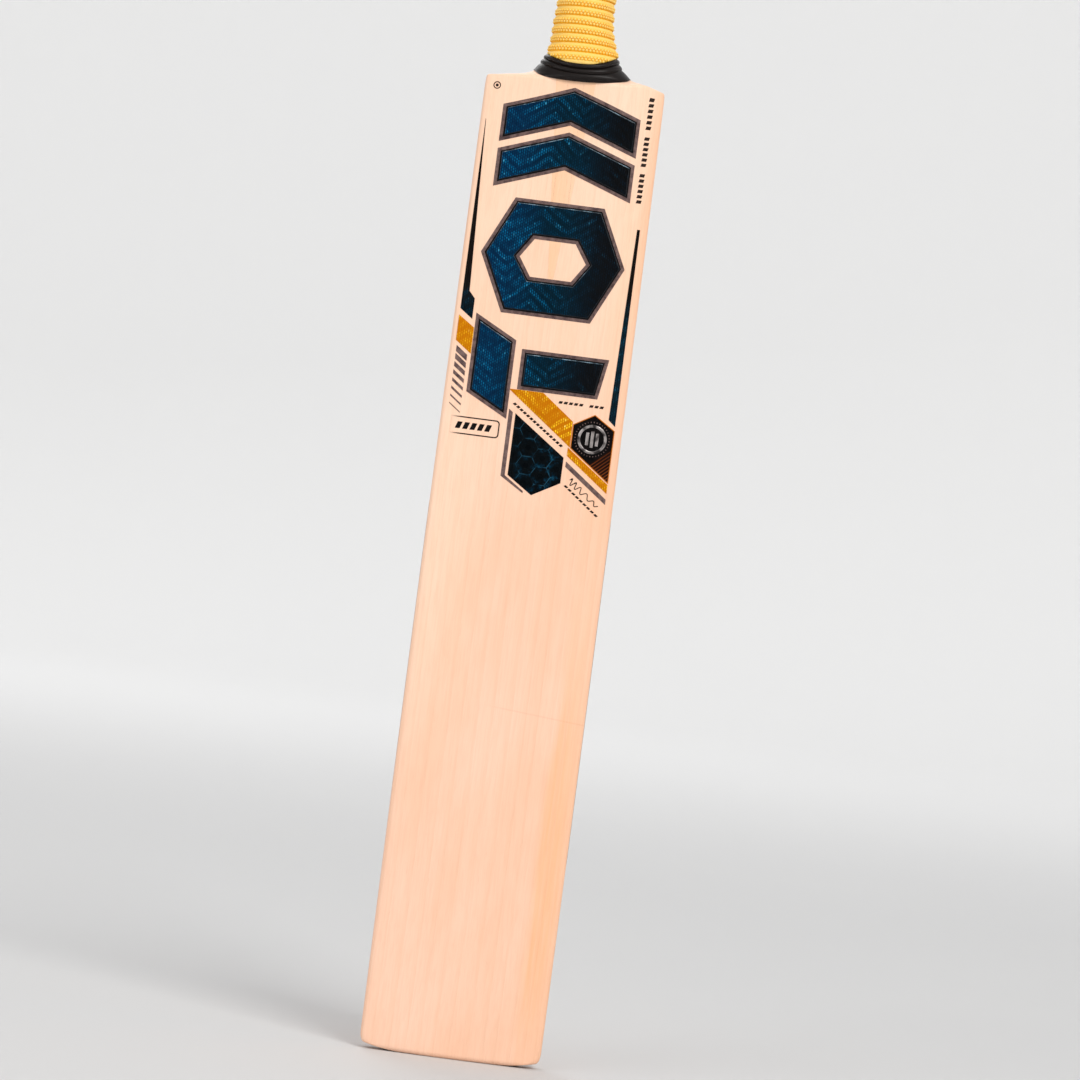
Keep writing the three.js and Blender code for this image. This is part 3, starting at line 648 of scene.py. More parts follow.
def rubber(name, main, rubbed, dust, roughness, grain_depth, gloss, shade_colour=None):
    """Moulded or sheet rubber: matt, with smudges, dust specks and paler rubbed edges. Given a shade
    colour, it paints shade into the hollows and under the bumps that the stored attribute marks.
    """
    material, tree, shader, place = new_material(name, roughness, {"Specular IOR Level": gloss})
    wear = use_group(tree, SKIN_WEAR, {
        "Vector": place, "Smudge Size": 0.012, "Speck Size": 0.00035, "Edge Reach": 0.06,
    })
    tone = span(tree, wear["Smudge"], 0.3, 0.75, 0.0, 0.35, "LINEAR")
    colour = blend_colours(tree, tone, main, dust)
    colour = blend_colours(tree, calc(tree, "MULTIPLY", wear["Rubbed"], 0.45), colour, rubbed)
    # Painted shade: where the stored attribute falls towards 0, in grooves and under bumps, the colour
    # turns to the darker shade colour.
    if shade_colour:
        lit_share = node(tree, "ShaderNodeAttribute", {"attribute_name": "lit_share"}).outputs["Fac"]
        colour = blend_colours(tree, span(tree, lit_share, 0.1, 0.75), shade_colour, colour)
    plug(tree, shader.inputs["Base Color"], colour)
    dull = span(tree, wear["Smudge"], 0.2, 0.8, roughness - 0.1, roughness + 0.12, "LINEAR")
    plug(tree, shader.inputs["Roughness"], dull)
    raise_surface(tree, shader, wear["Speck"], grain_depth, 0.6)
    return material


def twine():
    """Waxed linen thread, twisted along its length."""
    material, tree, shader, place = new_material("waxed_twine", 0.6, {"Sheen Weight": 0.2})
    strand = stretched(tree, place, 1.0, 1.0, 3.0)
    tone = noise(tree, strand, 900.0, 2.0)
    colour = blend_colours(tree, span(tree, tone, 0.3, 0.7), linear(214, 203, 178), linear(172, 156, 126))
    plug(tree, shader.inputs["Base Color"], colour)
    plug(tree, shader.inputs["Roughness"], span(tree, tone, 0.2, 0.8, 0.5, 0.75, "LINEAR"))
    raise_surface(tree, shader, tone, 0.00012)
    return material


FOIL_RIB_PITCH = 0.00125
FOIL_BEAD_LENGTH = 0.0017
FOIL_FOLD_WIDTH = 0.0165
FOIL_SLOPE = 0.75


def foil(name, left, middle, right, bright, spark, from_x, to_x, last_gain, gloss, band_width,
         evenness, plain_from=None):
    """Embossed foil film, its colour running from left to right, with bright beaded threads.

    Above the height plain_from, when one is given, the film is plain and nearly black.
    """
    material, tree, shader, place = new_material(name, 0.4, {"Specular IOR Level": gloss})
    weave = use_group(tree, WOVEN_FOIL, {
        "Vector": place, "Rib Pitch": FOIL_RIB_PITCH, "Bead Length": FOIL_BEAD_LENGTH,
        "Band Width": band_width, "Fold Width": FOIL_FOLD_WIDTH, "Slope": FOIL_SLOPE,
        "Evenness": evenness,
    })
    x, _, z = parts_of(tree, place)
    centre = (from_x + to_x) / 2
    ground = blend_colours(tree, span(tree, x, from_x, centre), left, middle)
    ground = blend_colours(tree, span(tree, x, centre, to_x), ground, right)
    fade = span(tree, x, from_x, to_x, 1.0, last_gain)
    gain = calc(tree, "MULTIPLY", calc(tree, "MULTIPLY_ADD", weave["Band"], 1.15, 0.06), fade)
    if plain_from is not None:
        plain_to = plain_from + 25 * MM
        ground = blend_colours(tree, span(tree, z, plain_from, plain_to), ground, linear(14, 8, 5))
        gain = calc(tree, "MULTIPLY", gain, span(tree, z, plain_from, plain_to, 1.0, 0.04))
    colour = blend_colours(tree, calc(tree, "MULTIPLY", weave["Thread"], gain), ground, bright)
    glint = calc(tree, "MULTIPLY", weave["Spark"], calc(tree, "MULTIPLY", gain, 0.6))
    colour = blend_colours(tree, glint, colour, spark)
    plug(tree, shader.inputs["Base Color"], colour)
    plug(tree, shader.inputs["Roughness"], span(tree, weave["Thread"], 0.0, 1.0, 0.5, 0.32, "LINEAR"))
    raise_surface(tree, shader, weave["Rib"], 0.00006, 0.8)
    return material


def bevel_foil():
    """Moulded rim of a raised panel: near black, catching light in patches where it faces up."""
    material, tree, shader, place = new_material("bevel_foil", 0.34, {"Specular IOR Level": 0.3})
    facing = parts_of(tree, node(tree, "ShaderNodeNewGeometry").outputs["True Normal"])[2]
    up = span(tree, facing, 0.15, 0.6)
    patches = span(tree, noise(tree, place, 190.0, 2.0, 0.6), 0.42, 0.66, 0.12, 1.0)
    dashes = span(tree, noise(tree, place, 1500.0, 1.0), 0.4, 0.6, 0.5, 1.0)
    light = calc(tree, "MULTIPLY", up, calc(tree, "MULTIPLY", patches, dashes))
    plug(tree, shader.inputs["Base Color"], blend_colours(
        tree, light, linear(6, 14, 22), linear(150, 182, 200)))
    plug(tree, shader.inputs["Roughness"], span(tree, dashes, 0.0, 1.0, 0.45, 0.28, "LINEAR"))
    raise_surface(tree, shader, dashes, 0.00003, 0.5)
    return material


def film(name, main, wear_and_highlight, roughness, alpha_from=None, alpha_to=None):
    """Printed film with smudges and rubbed edges in a second colour, which on the grey film is painted
    highlight as well as handling wear; its ink may fade out towards the left.
    """
    material, tree, shader, place = new_material(name, roughness, {"Specular IOR Level": 0.08})
    wear = use_group(tree, SKIN_WEAR, {
        "Vector": place, "Smudge Size": 0.0035, "Speck Size": 0.0004, "Edge Reach": 0.05,
    })
    # On the grey film this paler second colour is painted highlight mottling as well as wear.
    tone = span(tree, wear["Smudge"], 0.36, 0.7, 0.0, 0.62, "LINEAR")
    colour = blend_colours(tree, tone, main, wear_and_highlight)
    colour = blend_colours(tree, calc(tree, "MULTIPLY", wear["Rubbed"], 0.5), colour, wear_and_highlight)
    plug(tree, shader.inputs["Base Color"], colour)
    dull = span(tree, wear["Smudge"], 0.2, 0.8, roughness - 0.08, roughness + 0.1, "LINEAR")
    plug(tree, shader.inputs["Roughness"], dull)
    raise_surface(tree, shader, wear["Speck"], 0.00002, 0.5)
    if alpha_from is not None:
        x, _, _ = parts_of(tree, place)
        plug(tree, shader.inputs["Alpha"], span(tree, x, alpha_from, alpha_to))
    return material


SHIELD_CELL, SHIELD_LINE = 0.0104, 0.028


def shield_film():
    """Near-black film with faint blue honeycomb lines, brighter low on the right."""
    material, tree, shader, place = new_material("shield_film", 0.36, {"Specular IOR Level": 0.05})
    comb = use_group(tree, HONEYCOMB, {
        "Vector": place, "Cell Size": SHIELD_CELL, "Line Width": SHIELD_LINE,
    })
    low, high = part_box("shield")
    x, _, z = parts_of(tree, place)
    right = span(tree, x, low[0], high[0], 0.1, 1.0, "LINEAR")
    down = span(tree, z, low[2], high[2], 1.0, 0.25, "LINEAR")
    right_tint = calc(tree, "MULTIPLY", right, down)
    mottled = span(tree, noise(tree, place, 420.0, 3.0, 0.7), 0.46, 0.72)
    mottled = calc(tree, "MULTIPLY", mottled, span(tree, comb["Cell"], 0.18, 0.46))
    ground = blend_colours(tree, calc(tree, "MULTIPLY", right_tint, mottled), linear(1, 5, 8),
                           linear(0, 74, 104))
    line = calc(tree, "MULTIPLY", comb["Line"], calc(tree, "MULTIPLY_ADD", right_tint, 0.5, 0.32))
    colour = blend_colours(tree, line, ground, linear(46, 104, 132))
    plug(tree, shader.inputs["Base Color"], colour)
    plug(tree, shader.inputs["Roughness"], span(tree, comb["Cell"], 0.1, 0.5, 0.26, 0.4, "LINEAR"))
    raise_surface(tree, shader, comb["Line"], 0.00004, 0.7)
    return material


BADGE_LINE_PITCH = 0.0022
BADGE_LINE_SLOPE = 0.88
BADGE_DIAGONAL_X = 0.0375
BADGE_DIAGONAL_DROP = 0.0275


def badge_film():
    """Black film; below a diagonal of the badge it carries thin amber lines."""
    material, tree, shader, place = new_material("badge_film", 0.4, {"Specular IOR Level": 0.05})
    low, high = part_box("badge")
    x, _, z = parts_of(tree, place)
    rise = calc(tree, "MULTIPLY_ADD", x, -BADGE_LINE_SLOPE, z)
    lines = calc(tree, "DIVIDE", calc(tree, "ADD", rise, 1.0), BADGE_LINE_PITCH)
    lines = span(tree, calc(tree, "PINGPONG", lines, 0.5), 0.26, 0.4)
    foot = high[2] - BADGE_DIAGONAL_DROP - BADGE_LINE_SLOPE * BADGE_DIAGONAL_X
    diagonal = calc(tree, "MULTIPLY_ADD", x, BADGE_LINE_SLOPE, foot)
    inside = span(tree, calc(tree, "SUBTRACT", diagonal, z), 0.0, 0.0006)
    fade = span(tree, z, low[2], low[2] + 0.02, 1.0, 0.35)
    mask = calc(tree, "MULTIPLY", calc(tree, "MULTIPLY", lines, inside), fade)
    wear = use_group(tree, SKIN_WEAR, {"Vector": place, "Smudge Size": 0.006})
    ground = blend_colours(tree, span(tree, wear["Smudge"], 0.3, 0.8), linear(5, 4, 5),
                           linear(16, 11, 11))
    ground = blend_colours(tree, calc(tree, "MULTIPLY", inside, 0.5), ground, linear(30, 10, 4))
    colour = blend_colours(tree, mask, ground, linear(118, 56, 18))
    plug(tree, shader.inputs["Base Color"], colour)
    plug(tree, shader.inputs["Roughness"], span(tree, wear["Smudge"], 0.2, 0.8, 0.26, 0.4, "LINEAR"))
    raise_surface(tree, shader, mask, 0.00003, 0.6)
    return material


def silver_foil():
    """Brushed silver foil, mottled light and dark by painted reflections."""
    material, tree, shader, place = new_material("silver_foil", 0.3, {"Metallic": 0.8})
    brushed = noise(tree, stretched(tree, place, 1.0, 1.0, 0.08), 2600.0, 2.0)
    # Painted reflections: broad light and dark patches in the silver's colour.
    broad = noise(tree, place, 260.0, 1.0)
    colour = blend_colours(tree, span(tree, broad, 0.35, 0.65), linear(168, 160, 158), linear(52, 47, 47))
    plug(tree, shader.inputs["Base Color"], colour)
    plug(tree, shader.inputs["Roughness"], span(tree, brushed, 0.2, 0.8, 0.22, 0.42, "LINEAR"))
    raise_surface(tree, shader, brushed, 0.00002, 0.5)
    return material


WILLOW = willow()
CANE = cane()
SPRING_RUBBER = rubber("spring_rubber", linear(30, 28, 27), linear(70, 66, 62), linear(44, 40, 38),
                       0.8, 0.0001, 0.3)
# The grip's last colour is painted shade for its grooves and the undersides of its beads.
GRIP_RUBBER = rubber("grip_rubber", linear(250, 208, 108), linear(254, 222, 146), linear(250, 200, 86),
                     0.6, 0.00008, 0.3, linear(250, 186, 30))
COLLAR_RUBBER = rubber("collar_rubber", linear(14, 8, 6), linear(74, 58, 53), linear(26, 17, 14),
                       0.36, 0.00006, 0.2)
TWINE = twine()
BLUE_FOIL = foil("blue_foil", linear(0, 32, 60), linear(0, 25, 38), linear(8, 9, 11),
                 linear(0, 116, 168), linear(90, 190, 225), -0.032, 0.032, 0.05, 0.04, 0.006, 0.55)
BACK_FOIL = foil("back_foil", linear(0, 32, 60), linear(0, 25, 38), linear(0, 32, 60),
                 linear(0, 116, 168), linear(90, 190, 225), -0.04, 0.04, 1.0, 0.05, 0.006, 0.5)
STRIPE_FOIL = foil("stripe_foil", linear(1, 13, 20), linear(1, 17, 25), linear(2, 20, 28),
                   linear(0, 68, 94), linear(80, 140, 165), -0.05, 0.05, 1.0, 0.06, 0.0068, 0.4, 0.43)
GOLD_FOIL = foil("gold_foil", linear(192, 110, 0), linear(190, 108, 0), linear(192, 110, 0),
                 linear(255, 212, 36), linear(255, 236, 140), -0.06, 0.09, 1.0, 0.04, 0.0058, 0.6)
BEVEL_FOIL = bevel_foil()
# The grey film's paler second colour is painted highlight mottling as well as wear.
GREY_FILM = film("grey_film", linear(74, 58, 58), linear(140, 116, 110), 0.42)
BLACK_FILM = film("black_film", linear(6, 6, 8), linear(20, 17, 17), 0.42)
FADING_INK = film("fading_ink", linear(26, 20, 18), linear(50, 40, 36), 0.5, -0.048, -0.034)
PRINT_INK = film("print_ink", linear(30, 21, 17), linear(58, 46, 40), 0.55)
EDGE_FILM = film("edge_film", linear(18, 14, 16), linear(48, 36, 32), 0.45)
AMBER_INK = film("amber_ink", linear(206, 118, 20), linear(160, 84, 10), 0.45)
SHIELD_FILM = shield_film()
BADGE_FILM = badge_film()
SILVER_FOIL = silver_foil()


# ------------------------------------------------------------------ blade

ROUND_STEPS = 6
EDGE_STEPS = 8
FACE_POINTS = 41
BACK_POINTS = 61
FRONT_ROUND_SHARE = 0.98


def blade_section(z):
    """Section of the blade or neck at height z, counter-clockwise from the left of the face."""
    w = half_width(z)
    start, end = edge_depths(z)
    right = []
    for k in range(1, ROUND_STEPS + 1):
        angle = math.radians(90) * k / ROUND_STEPS
        f = FRONT_LIMIT + (1 - FRONT_LIMIT) * math.sin(angle)
        right.append((f, start - FRONT_ROUND_SHARE * FRONT_ROUND * math.cos(angle), -1))
    right += [(1.0, start + (end - start) * k / EDGE_STEPS, -1 if k < EDGE_STEPS / 2 else 1)
              for k in range(1, EDGE_STEPS)]
    for k in range(ROUND_STEPS):
        angle = math.radians(90) * k / ROUND_STEPS
        f = BACK_LIMIT + (1 - BACK_LIMIT) * math.cos(angle)
        right.append((f, end + BACK_ROUND * math.sin(angle), 1))
    face = [f * FRONT_LIMIT for f in steps(-1, 1, FACE_POINTS)]
    back = [f * BACK_LIMIT for f in steps(1, -1, BACK_POINTS)]
    ring = [(w * f, front_y(w * f, z)) for f in face]
    ring += [(w * f, towards_oval(f, y, z, side)) for f, y, side in right]
    ring += [(w * f, back_y(w * f, z)) for f in back]
    ring += [(-w * f, towards_oval(f, y, z, side)) for f, y, side in reversed(right)]
    return [Vector((px, py, z)) for px, py in ring]


def blade_levels():
    toe = [0, 0.05, 0.15, 0.35, 0.65, 1.05, 1.5, 2.1, 2.8, 3.3, 3.9, 4.7, 5.6, 6.6, 7.9, 9.5]
    shoulder = [568.3, 568.9, 569.4, 569.8, 570.1, 570.3, 570.4, 570.5, 570.7, 570.9, 571.2, 571.6,
                572, 572.5, 573, 573.5, 574, 574.7, 575.5, 576.5, 577.7, 579, 580.5, 582.3, 584.5,
                587, 590, 594, 598, 602]
    return [z * MM for z in toe + steps(14, 564, 100) + shoulder] + [NECK_TOP]


SPLICE_CLEARANCE = 0.04 * MM


def splice_prism(gap):
    """The wedge of the handle as a prism right through the blade, grown by a hairline."""
    full = SPLICE_TIP + HANDLE_HALF_WIDTH / SPLICE_SLOPE
    tip = SPLICE_TIP + SPLICE_TIP_HALF / SPLICE_SLOPE
    half, small, top = HANDLE_HALF_WIDTH + gap, SPLICE_TIP_HALF + gap, NECK_TOP + 20 * MM
    outline = [(-small, tip), (small, tip), (half, full), (half, top), (-half, top), (-half, full)]
    beyond = 100 * MM
    rings = [[Vector((px, y, pz)) for px, pz in outline] for y in (-beyond, beyond)]
    return mesh_from("splice_prism", *loft(rings))


SANDED_FROM, SANDED_TO = 566 * MM, 577 * MM
SANDING_PASSES = 6


def soften_shoulders(mesh):
    """Sand the top of the shoulders round, from just below them to the foot of the neck."""
    bm = bmesh.new()
    bm.from_mesh(mesh)
    near = [v for v in bm.verts if SANDED_FROM < v.co.z < SANDED_TO]
    for _ in range(SANDING_PASSES):
        bmesh.ops.smooth_vert(bm, verts=near, factor=0.5, use_axis_x=True, use_axis_y=True,
                              use_axis_z=True)
    bm.to_mesh(mesh)
    bm.free()


def make_blade():
    mesh = mesh_from("blade_willow", *loft([blade_section(z) for z in blade_levels()]))
    soften_shoulders(mesh)
    whole = add_object("blade_blank", mesh)
    tool = add_object("splice_tool", splice_prism(SPLICE_CLEARANCE))
    for item in (whole, tool):
        tidy_normals(item.data)
    cut = whole.modifiers.new("splice", "BOOLEAN")
    cut.operation = "DIFFERENCE"
    cut.solver = "EXACT"
    cut.object = tool
    final = evaluated_mesh(whole, "blade_willow")
    for item in (whole, tool):
        bpy.data.objects.remove(item)
    finish_piece("blade_willow", final, ["blade"], [WILLOW])


def evaluated_mesh(piece, name):
    """Plain mesh of an object with its modifiers applied."""
    bpy.context.view_layer.update()
    graph = bpy.context.evaluated_depsgraph_get()
    mesh = bpy.data.meshes.new_from_object(piece.evaluated_get(graph), depsgraph=graph)
    mesh.name = name
    mesh.materials.clear()
    return mesh


# ------------------------------------------------------------------ cane handle

SPRING_DEPTHS = [-7.6 * MM, 0.0, 7.6 * MM]
SPRING_HALF = 0.75 * MM
COLUMN_EDGE = 4.6 * MM
HAIRLINE = 0.03 * MM
SLIP_POINTS = 9
THINNEST_SLIP = 0.4 * MM
HALF_THINNEST_WALL = 0.02 * MM


def handle_levels(low):
    splice = [z * MM for z in steps(low / MM, 570, 40)]
    neck = [z * MM for z in (572, 574, 577, 580, 585, 590, 598, 605.9)]
    return splice + neck + [NECK_TOP] + [z * MM for z in steps(610, BAT_LENGTH / MM, 24)]


def handle_walls(x, z):
    """Front and back of the handle at a place across it."""
    if z < NECK_TOP:
        return front_y(x, z), back_y(x, z)
    reach = HANDLE_HALF_DEPTH * math.sqrt(max(0.0, 1 - (x / HANDLE_HALF_WIDTH) ** 2))
    return handle_middle(z) - reach, handle_middle(z) + reach


def handle_part(from_x, to_x, from_depth, to_depth, low):
    """Slip of the handle between two places across it and two depths from its middle."""
    rows = []
    for z in handle_levels(low):
        left, right = max(from_x, -splice_half(z)), min(to_x, splice_half(z))
        if z >= NECK_TOP:
            inner = min(abs(from_depth), abs(to_depth)) if from_depth * to_depth > 0 else 0.0
            reach = HANDLE_HALF_WIDTH * math.sqrt(max(0.0, 1 - (inner / HANDLE_HALF_DEPTH) ** 2))
            left, right = max(left, -reach), min(right, reach)
        if right - left < THINNEST_SLIP:
            continue
        near, far = [], []
        for x in steps(left, right, SLIP_POINTS):
            front, back = handle_walls(x, z)
            a = max(front, handle_middle(z) + from_depth)
            b = min(back, handle_middle(z) + to_depth)
            middle = (a + b) / 2
            near.append(Vector((x, min(a, middle - HALF_THINNEST_WALL), z)))
            far.append(Vector((x, max(b, middle + HALF_THINNEST_WALL), z)))
        rows.append((near, far))
    return slab(rows)


def make_handle():
    far_out = 60 * MM
    edges = [-far_out, *SPRING_DEPTHS, far_out]
    layers = ["front", "front_middle", "back_middle", "back"]
    columns = [("left", -far_out, -COLUMN_EDGE), ("centre", -COLUMN_EDGE, COLUMN_EDGE),
               ("right", COLUMN_EDGE, far_out)]
    for k, layer in enumerate(layers):
        low = edges[k] + (SPRING_HALF + HAIRLINE if k else 0)
        high = edges[k + 1] - (SPRING_HALF + HAIRLINE if k < 3 else 0)
        for column, from_x, to_x in columns:
            name = f"{layer}_{column}"
            tip = SPLICE_LOW[2] if column == "centre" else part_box(f"cane_slip_{name}")[0][2]
            made = handle_part(from_x + HAIRLINE, to_x - HAIRLINE, low, high, tip)
            finish_piece(f"slip_{name}", mesh_from(name, *made), [f"cane_slip_{name}"], [CANE])
    for k, depth in enumerate(SPRING_DEPTHS):
        made = handle_part(-far_out, far_out, depth - SPRING_HALF, depth + SPRING_HALF, SPRING_LOW[2])
        finish_piece(f"spring_strip_{k + 1}", mesh_from("spring", *made),
                     [f"rubber_spring_{k + 1}"], [SPRING_RUBBER])


# ------------------------------------------------------------------ geometry node tools

def geometry_tree(name, inputs):
    """Geometry Nodes tree with named inputs; returns it, its inputs and its output."""
    tree = bpy.data.node_groups.new(name, "GeometryNodeTree")
    tree.interface.new_socket("Geometry", in_out="INPUT", socket_type="NodeSocketGeometry")
    for label, kind in inputs:
        tree.interface.new_socket(label, in_out="INPUT", socket_type=kind)
    tree.interface.new_socket("Geometry", in_out="OUTPUT", socket_type="NodeSocketGeometry")
    return tree, node(tree, "NodeGroupInput").outputs, node(tree, "NodeGroupOutput").inputs


def close_tree(tree, geometry, material, out):
    """Every tree ends in real geometry with its material set."""
    real = node(tree, "GeometryNodeRealizeInstances", {}, {"Geometry": geometry}).outputs[0]
    last = node(tree, "GeometryNodeSetMaterial", {}, {"Geometry": real, "Material": material})
    plug(tree, out["Geometry"], last.outputs[0])


def grow(name, tree, values, base=None):
    """Run a tree on a base mesh and return the result as a plain mesh."""
    holder = add_object(f"{name}_holder", base or bpy.data.meshes.new(name))
    modifier = holder.modifiers.new("grow", "NODES")
    modifier.node_group = tree
    for item in tree.interface.items_tree:
        if item.in_out == "INPUT" and item.name in values:
            modifier[item.identifier] = values[item.name]
    mesh = evaluated_mesh(holder, name)
    bpy.data.objects.remove(holder)
    return mesh


def compose(tree, x, y, z):
    return node(tree, "ShaderNodeCombineXYZ", {}, {"X": x, "Y": y, "Z": z}).outputs[0]


# ------------------------------------------------------------------ twine

THREAD_RADIUS = 0.4 * MM
THREAD_CLEARANCE = 0.35 * MM
THREAD_SPACING = 2.1
POINTS_PER_TURN = 20


def make_twine():
    """Thread wound tightly round the cane, turn on turn."""
    tree, ins, outs = geometry_tree("twine_winding", [
        ("Turns", FLOAT), ("Bottom", FLOAT), ("Top", FLOAT), ("Half Width", FLOAT),
        ("Half Depth", FLOAT), ("Lean", FLOAT), ("Middle", FLOAT), ("Thread Radius", FLOAT),
    ])
    count = calc(tree, "MULTIPLY", ins["Turns"], float(POINTS_PER_TURN))
    line = node(tree, "GeometryNodeCurvePrimitiveLine", {}, {"Start": (0, 0, 0), "End": (0, 0, 1)})
    many = node(tree, "GeometryNodeResampleCurve", {}, {"Curve": line.outputs[0]})
    plug(tree, many.inputs["Count"], count)
    along = node(tree, "GeometryNodeSplineParameter").outputs["Factor"]
    angle = calc(tree, "MULTIPLY", calc(tree, "MULTIPLY", along, ins["Turns"]), 2 * math.pi)
    z = span(tree, along, 0.0, 1.0, ins["Bottom"], ins["Top"], "LINEAR")
    rise = calc(tree, "SUBTRACT", z, ins["Bottom"])
    centre = calc(tree, "SUBTRACT", ins["Middle"], calc(tree, "MULTIPLY", rise, ins["Lean"]))
    x = calc(tree, "MULTIPLY", calc(tree, "COSINE", angle), ins["Half Width"])
    y = calc(tree, "MULTIPLY_ADD", calc(tree, "SINE", angle), ins["Half Depth"], centre)
    placed = node(tree, "GeometryNodeSetPosition", {}, {
        "Geometry": many.outputs[0], "Position": compose(tree, x, y, z)}).outputs[0]
    round_section = node(tree, "GeometryNodeCurvePrimitiveCircle", {}, {"Resolution": 5})
    plug(tree, round_section.inputs["Radius"], ins["Thread Radius"])
    thread = node(tree, "GeometryNodeCurveToMesh", {}, {
        "Curve": placed, "Profile Curve": round_section.outputs[0], "Fill Caps": True}).outputs[0]
    close_tree(tree, thread, TWINE, outs)
    bottom, top = TWINE_LOW[2] + THREAD_RADIUS, TWINE_HIGH[2] - THREAD_RADIUS
    mesh = grow("twine_winding", tree, {
        "Turns": (top - bottom) / (THREAD_SPACING * THREAD_RADIUS), "Bottom": bottom, "Top": top,
        "Half Width": HANDLE_HALF_WIDTH + THREAD_RADIUS + THREAD_CLEARANCE,
        "Half Depth": HANDLE_HALF_DEPTH + THREAD_RADIUS + THREAD_CLEARANCE,
        "Lean": HANDLE_LEAN, "Middle": handle_middle(bottom), "Thread Radius": THREAD_RADIUS,
    })
    finish_piece("twine_winding", mesh, ["twine_binding"], [TWINE], 80)


# ------------------------------------------------------------------ collar and grip

RING_STEPS = 96
COVER_GAP = 0.1 * MM
COVER_LIFT = 0.3 * MM
TWINE_OVER = 1.3 * MM
COLLAR_DIP = 5.9 * MM
COLLAR_BOTTOM = 576.5 * MM
COLLAR_TOP = 587 * MM
GRIP_WALL = 1.7 * MM
GRIP_PRESSED = 0.5 * MM
PRESSED_REACH = 1.2 * MM
PRESSED_SHARE = 0.35
RIB_PITCH = 5.2 * MM
RIB_HEIGHT = 0.8 * MM
RIB_ROWS = 8
FIRST_RIB = 582.8 * MM
LAST_RIB_BELOW_TOP = 6 * MM
GRIP_HEM = FIRST_RIB - 3.6 * MM
GRIP_POINTS = 64
ROLL_STEPS = 12
ROLL_BULGE = 1.5 * MM
ROLL_LIFT = 0.6 * MM
ROLL_WALL = GRIP_WALL - 0.5 * MM
HEM_STEP = 0.3 * MM
BORE_FROM = 590 * MM
BORE_BELOW_TOP = 0.4 * MM
BORE_LEVELS = 12
BEADS_IN_A_ROW = 56
BEAD_RADIUS = 0.96 * MM


def cover_ring(side_z, dip, out, count, inner=False, tilt=0.0):
    """Ring of a rubber cover: level at the sides of the handle, dipping at its front and back."""
    ring = []
    for i in range(count):
        angle = 2 * math.pi * i / count
        z = side_z - dip * math.sin(angle) ** 2 + tilt * math.cos(angle)
        under = COVER_GAP if inner else COVER_LIFT
        w = max(neck_half_width(z) + under, HANDLE_HALF_WIDTH + TWINE_OVER)
        depth = max(neck_half_depth(z) + under, HANDLE_HALF_DEPTH + TWINE_OVER)
        ring.append(Vector(((w + out) * math.cos(angle),
                            handle_middle(z) + (depth + out) * math.sin(angle), z)))
    return ring


COLLAR_TILT = 0.6 * MM
COLLAR_FOLDS = [0, 0.44, 0.73, 1]
FOLD_HEIGHTS = [1.0, 1.2, 1.3]
COLLAR_WALL = 0.9
SKIRT_THINNING = 0.5
FOLD_START, FOLD_SHARE, FOLD_FULLNESS = 0.04, 0.94, 0.7
COLLAR_LEVELS = 56


def collar_profile(t):
    """How far the collar stands out along its height, 0 to 1: a wide soft skirt and two folds."""
    k = 0
    while k < 2 and t > COLLAR_FOLDS[k + 1]:
        k += 1
    phase = (t - COLLAR_FOLDS[k]) / (COLLAR_FOLDS[k + 1] - COLLAR_FOLDS[k])
    turn = math.pi * min(1.0, FOLD_START + phase * FOLD_SHARE)
    bump = max(0.0, math.sin(turn)) ** FOLD_FULLNESS
    wall = COLLAR_WALL if k else COLLAR_WALL - SKIRT_THINNING * (1 - phase)
    return (wall + FOLD_HEIGHTS[k] * bump) * MM


def collar_ring(t, out, inner=False):
    """Ring of the collar, from its foot at 0 to its top edge at 1."""
    z = COLLAR_BOTTOM + (COLLAR_TOP - COLLAR_BOTTOM) * t
    return cover_ring(z, COLLAR_DIP, out, RING_STEPS, inner, COLLAR_TILT * t)


def make_collar():
    levels = steps(0, 1, COLLAR_LEVELS)
    outer = [collar_ring(t, collar_profile(t)) for t in levels]
    inner = [collar_ring(t, 0.0, True) for t in reversed(levels[::5])]
    mesh = mesh_from("collar", *loft(outer + inner, closed=True))
    finish_piece("stretched_collar", mesh, ["grip_collar"], [COLLAR_RUBBER], 60)


def sleeve_ring(z, count):
    """Ring of the sleeve at height z, pressed thin where the collar is stretched over it."""
    full = cover_ring(z, 0, GRIP_WALL, count)
    thin = cover_ring(z, 0, GRIP_PRESSED, count)
    ring = []
    for i in range(count):
        angle = 2 * math.pi * i / count
        edge = COLLAR_TOP - COLLAR_DIP * math.sin(angle) ** 2 + COLLAR_TILT * math.cos(angle)
        ring.append(thin[i].lerp(full[i], smooth(clamp((z - edge) / PRESSED_REACH + PRESSED_SHARE))))
    return ring


def sleeve_mesh(ribs):
    """Smooth closed sleeve, with rings where the ribs need them and a rolled top edge."""
    top = GRIP_HIGH[2]
    levels = [GRIP_HEM, FIRST_RIB - HEM_STEP]
    levels += [FIRST_RIB + RIB_PITCH * k / RIB_ROWS for k in range(ribs * RIB_ROWS + 1)]
    outer = [sleeve_ring(z, GRIP_POINTS) for z in levels]
    roll_start = levels[-1] + ROLL_LIFT
    roll = (top - roll_start) / 2
    for k in range(ROLL_STEPS + 1):
        angle = math.pi * k / ROLL_STEPS
        out = ROLL_WALL + ROLL_BULGE * math.sin(angle)
        outer.append(cover_ring(roll_start + roll - roll * math.cos(angle), 0, out, GRIP_POINTS))
    bore = steps(BORE_FROM, top - BORE_BELOW_TOP, BORE_LEVELS)
    levels = [*reversed(bore), FIRST_RIB, GRIP_HEM]
    inner = [cover_ring(z, 0, 0.0, GRIP_POINTS, True) for z in levels]
    return mesh_from("sleeve", *loft(outer + inner, closed=True))


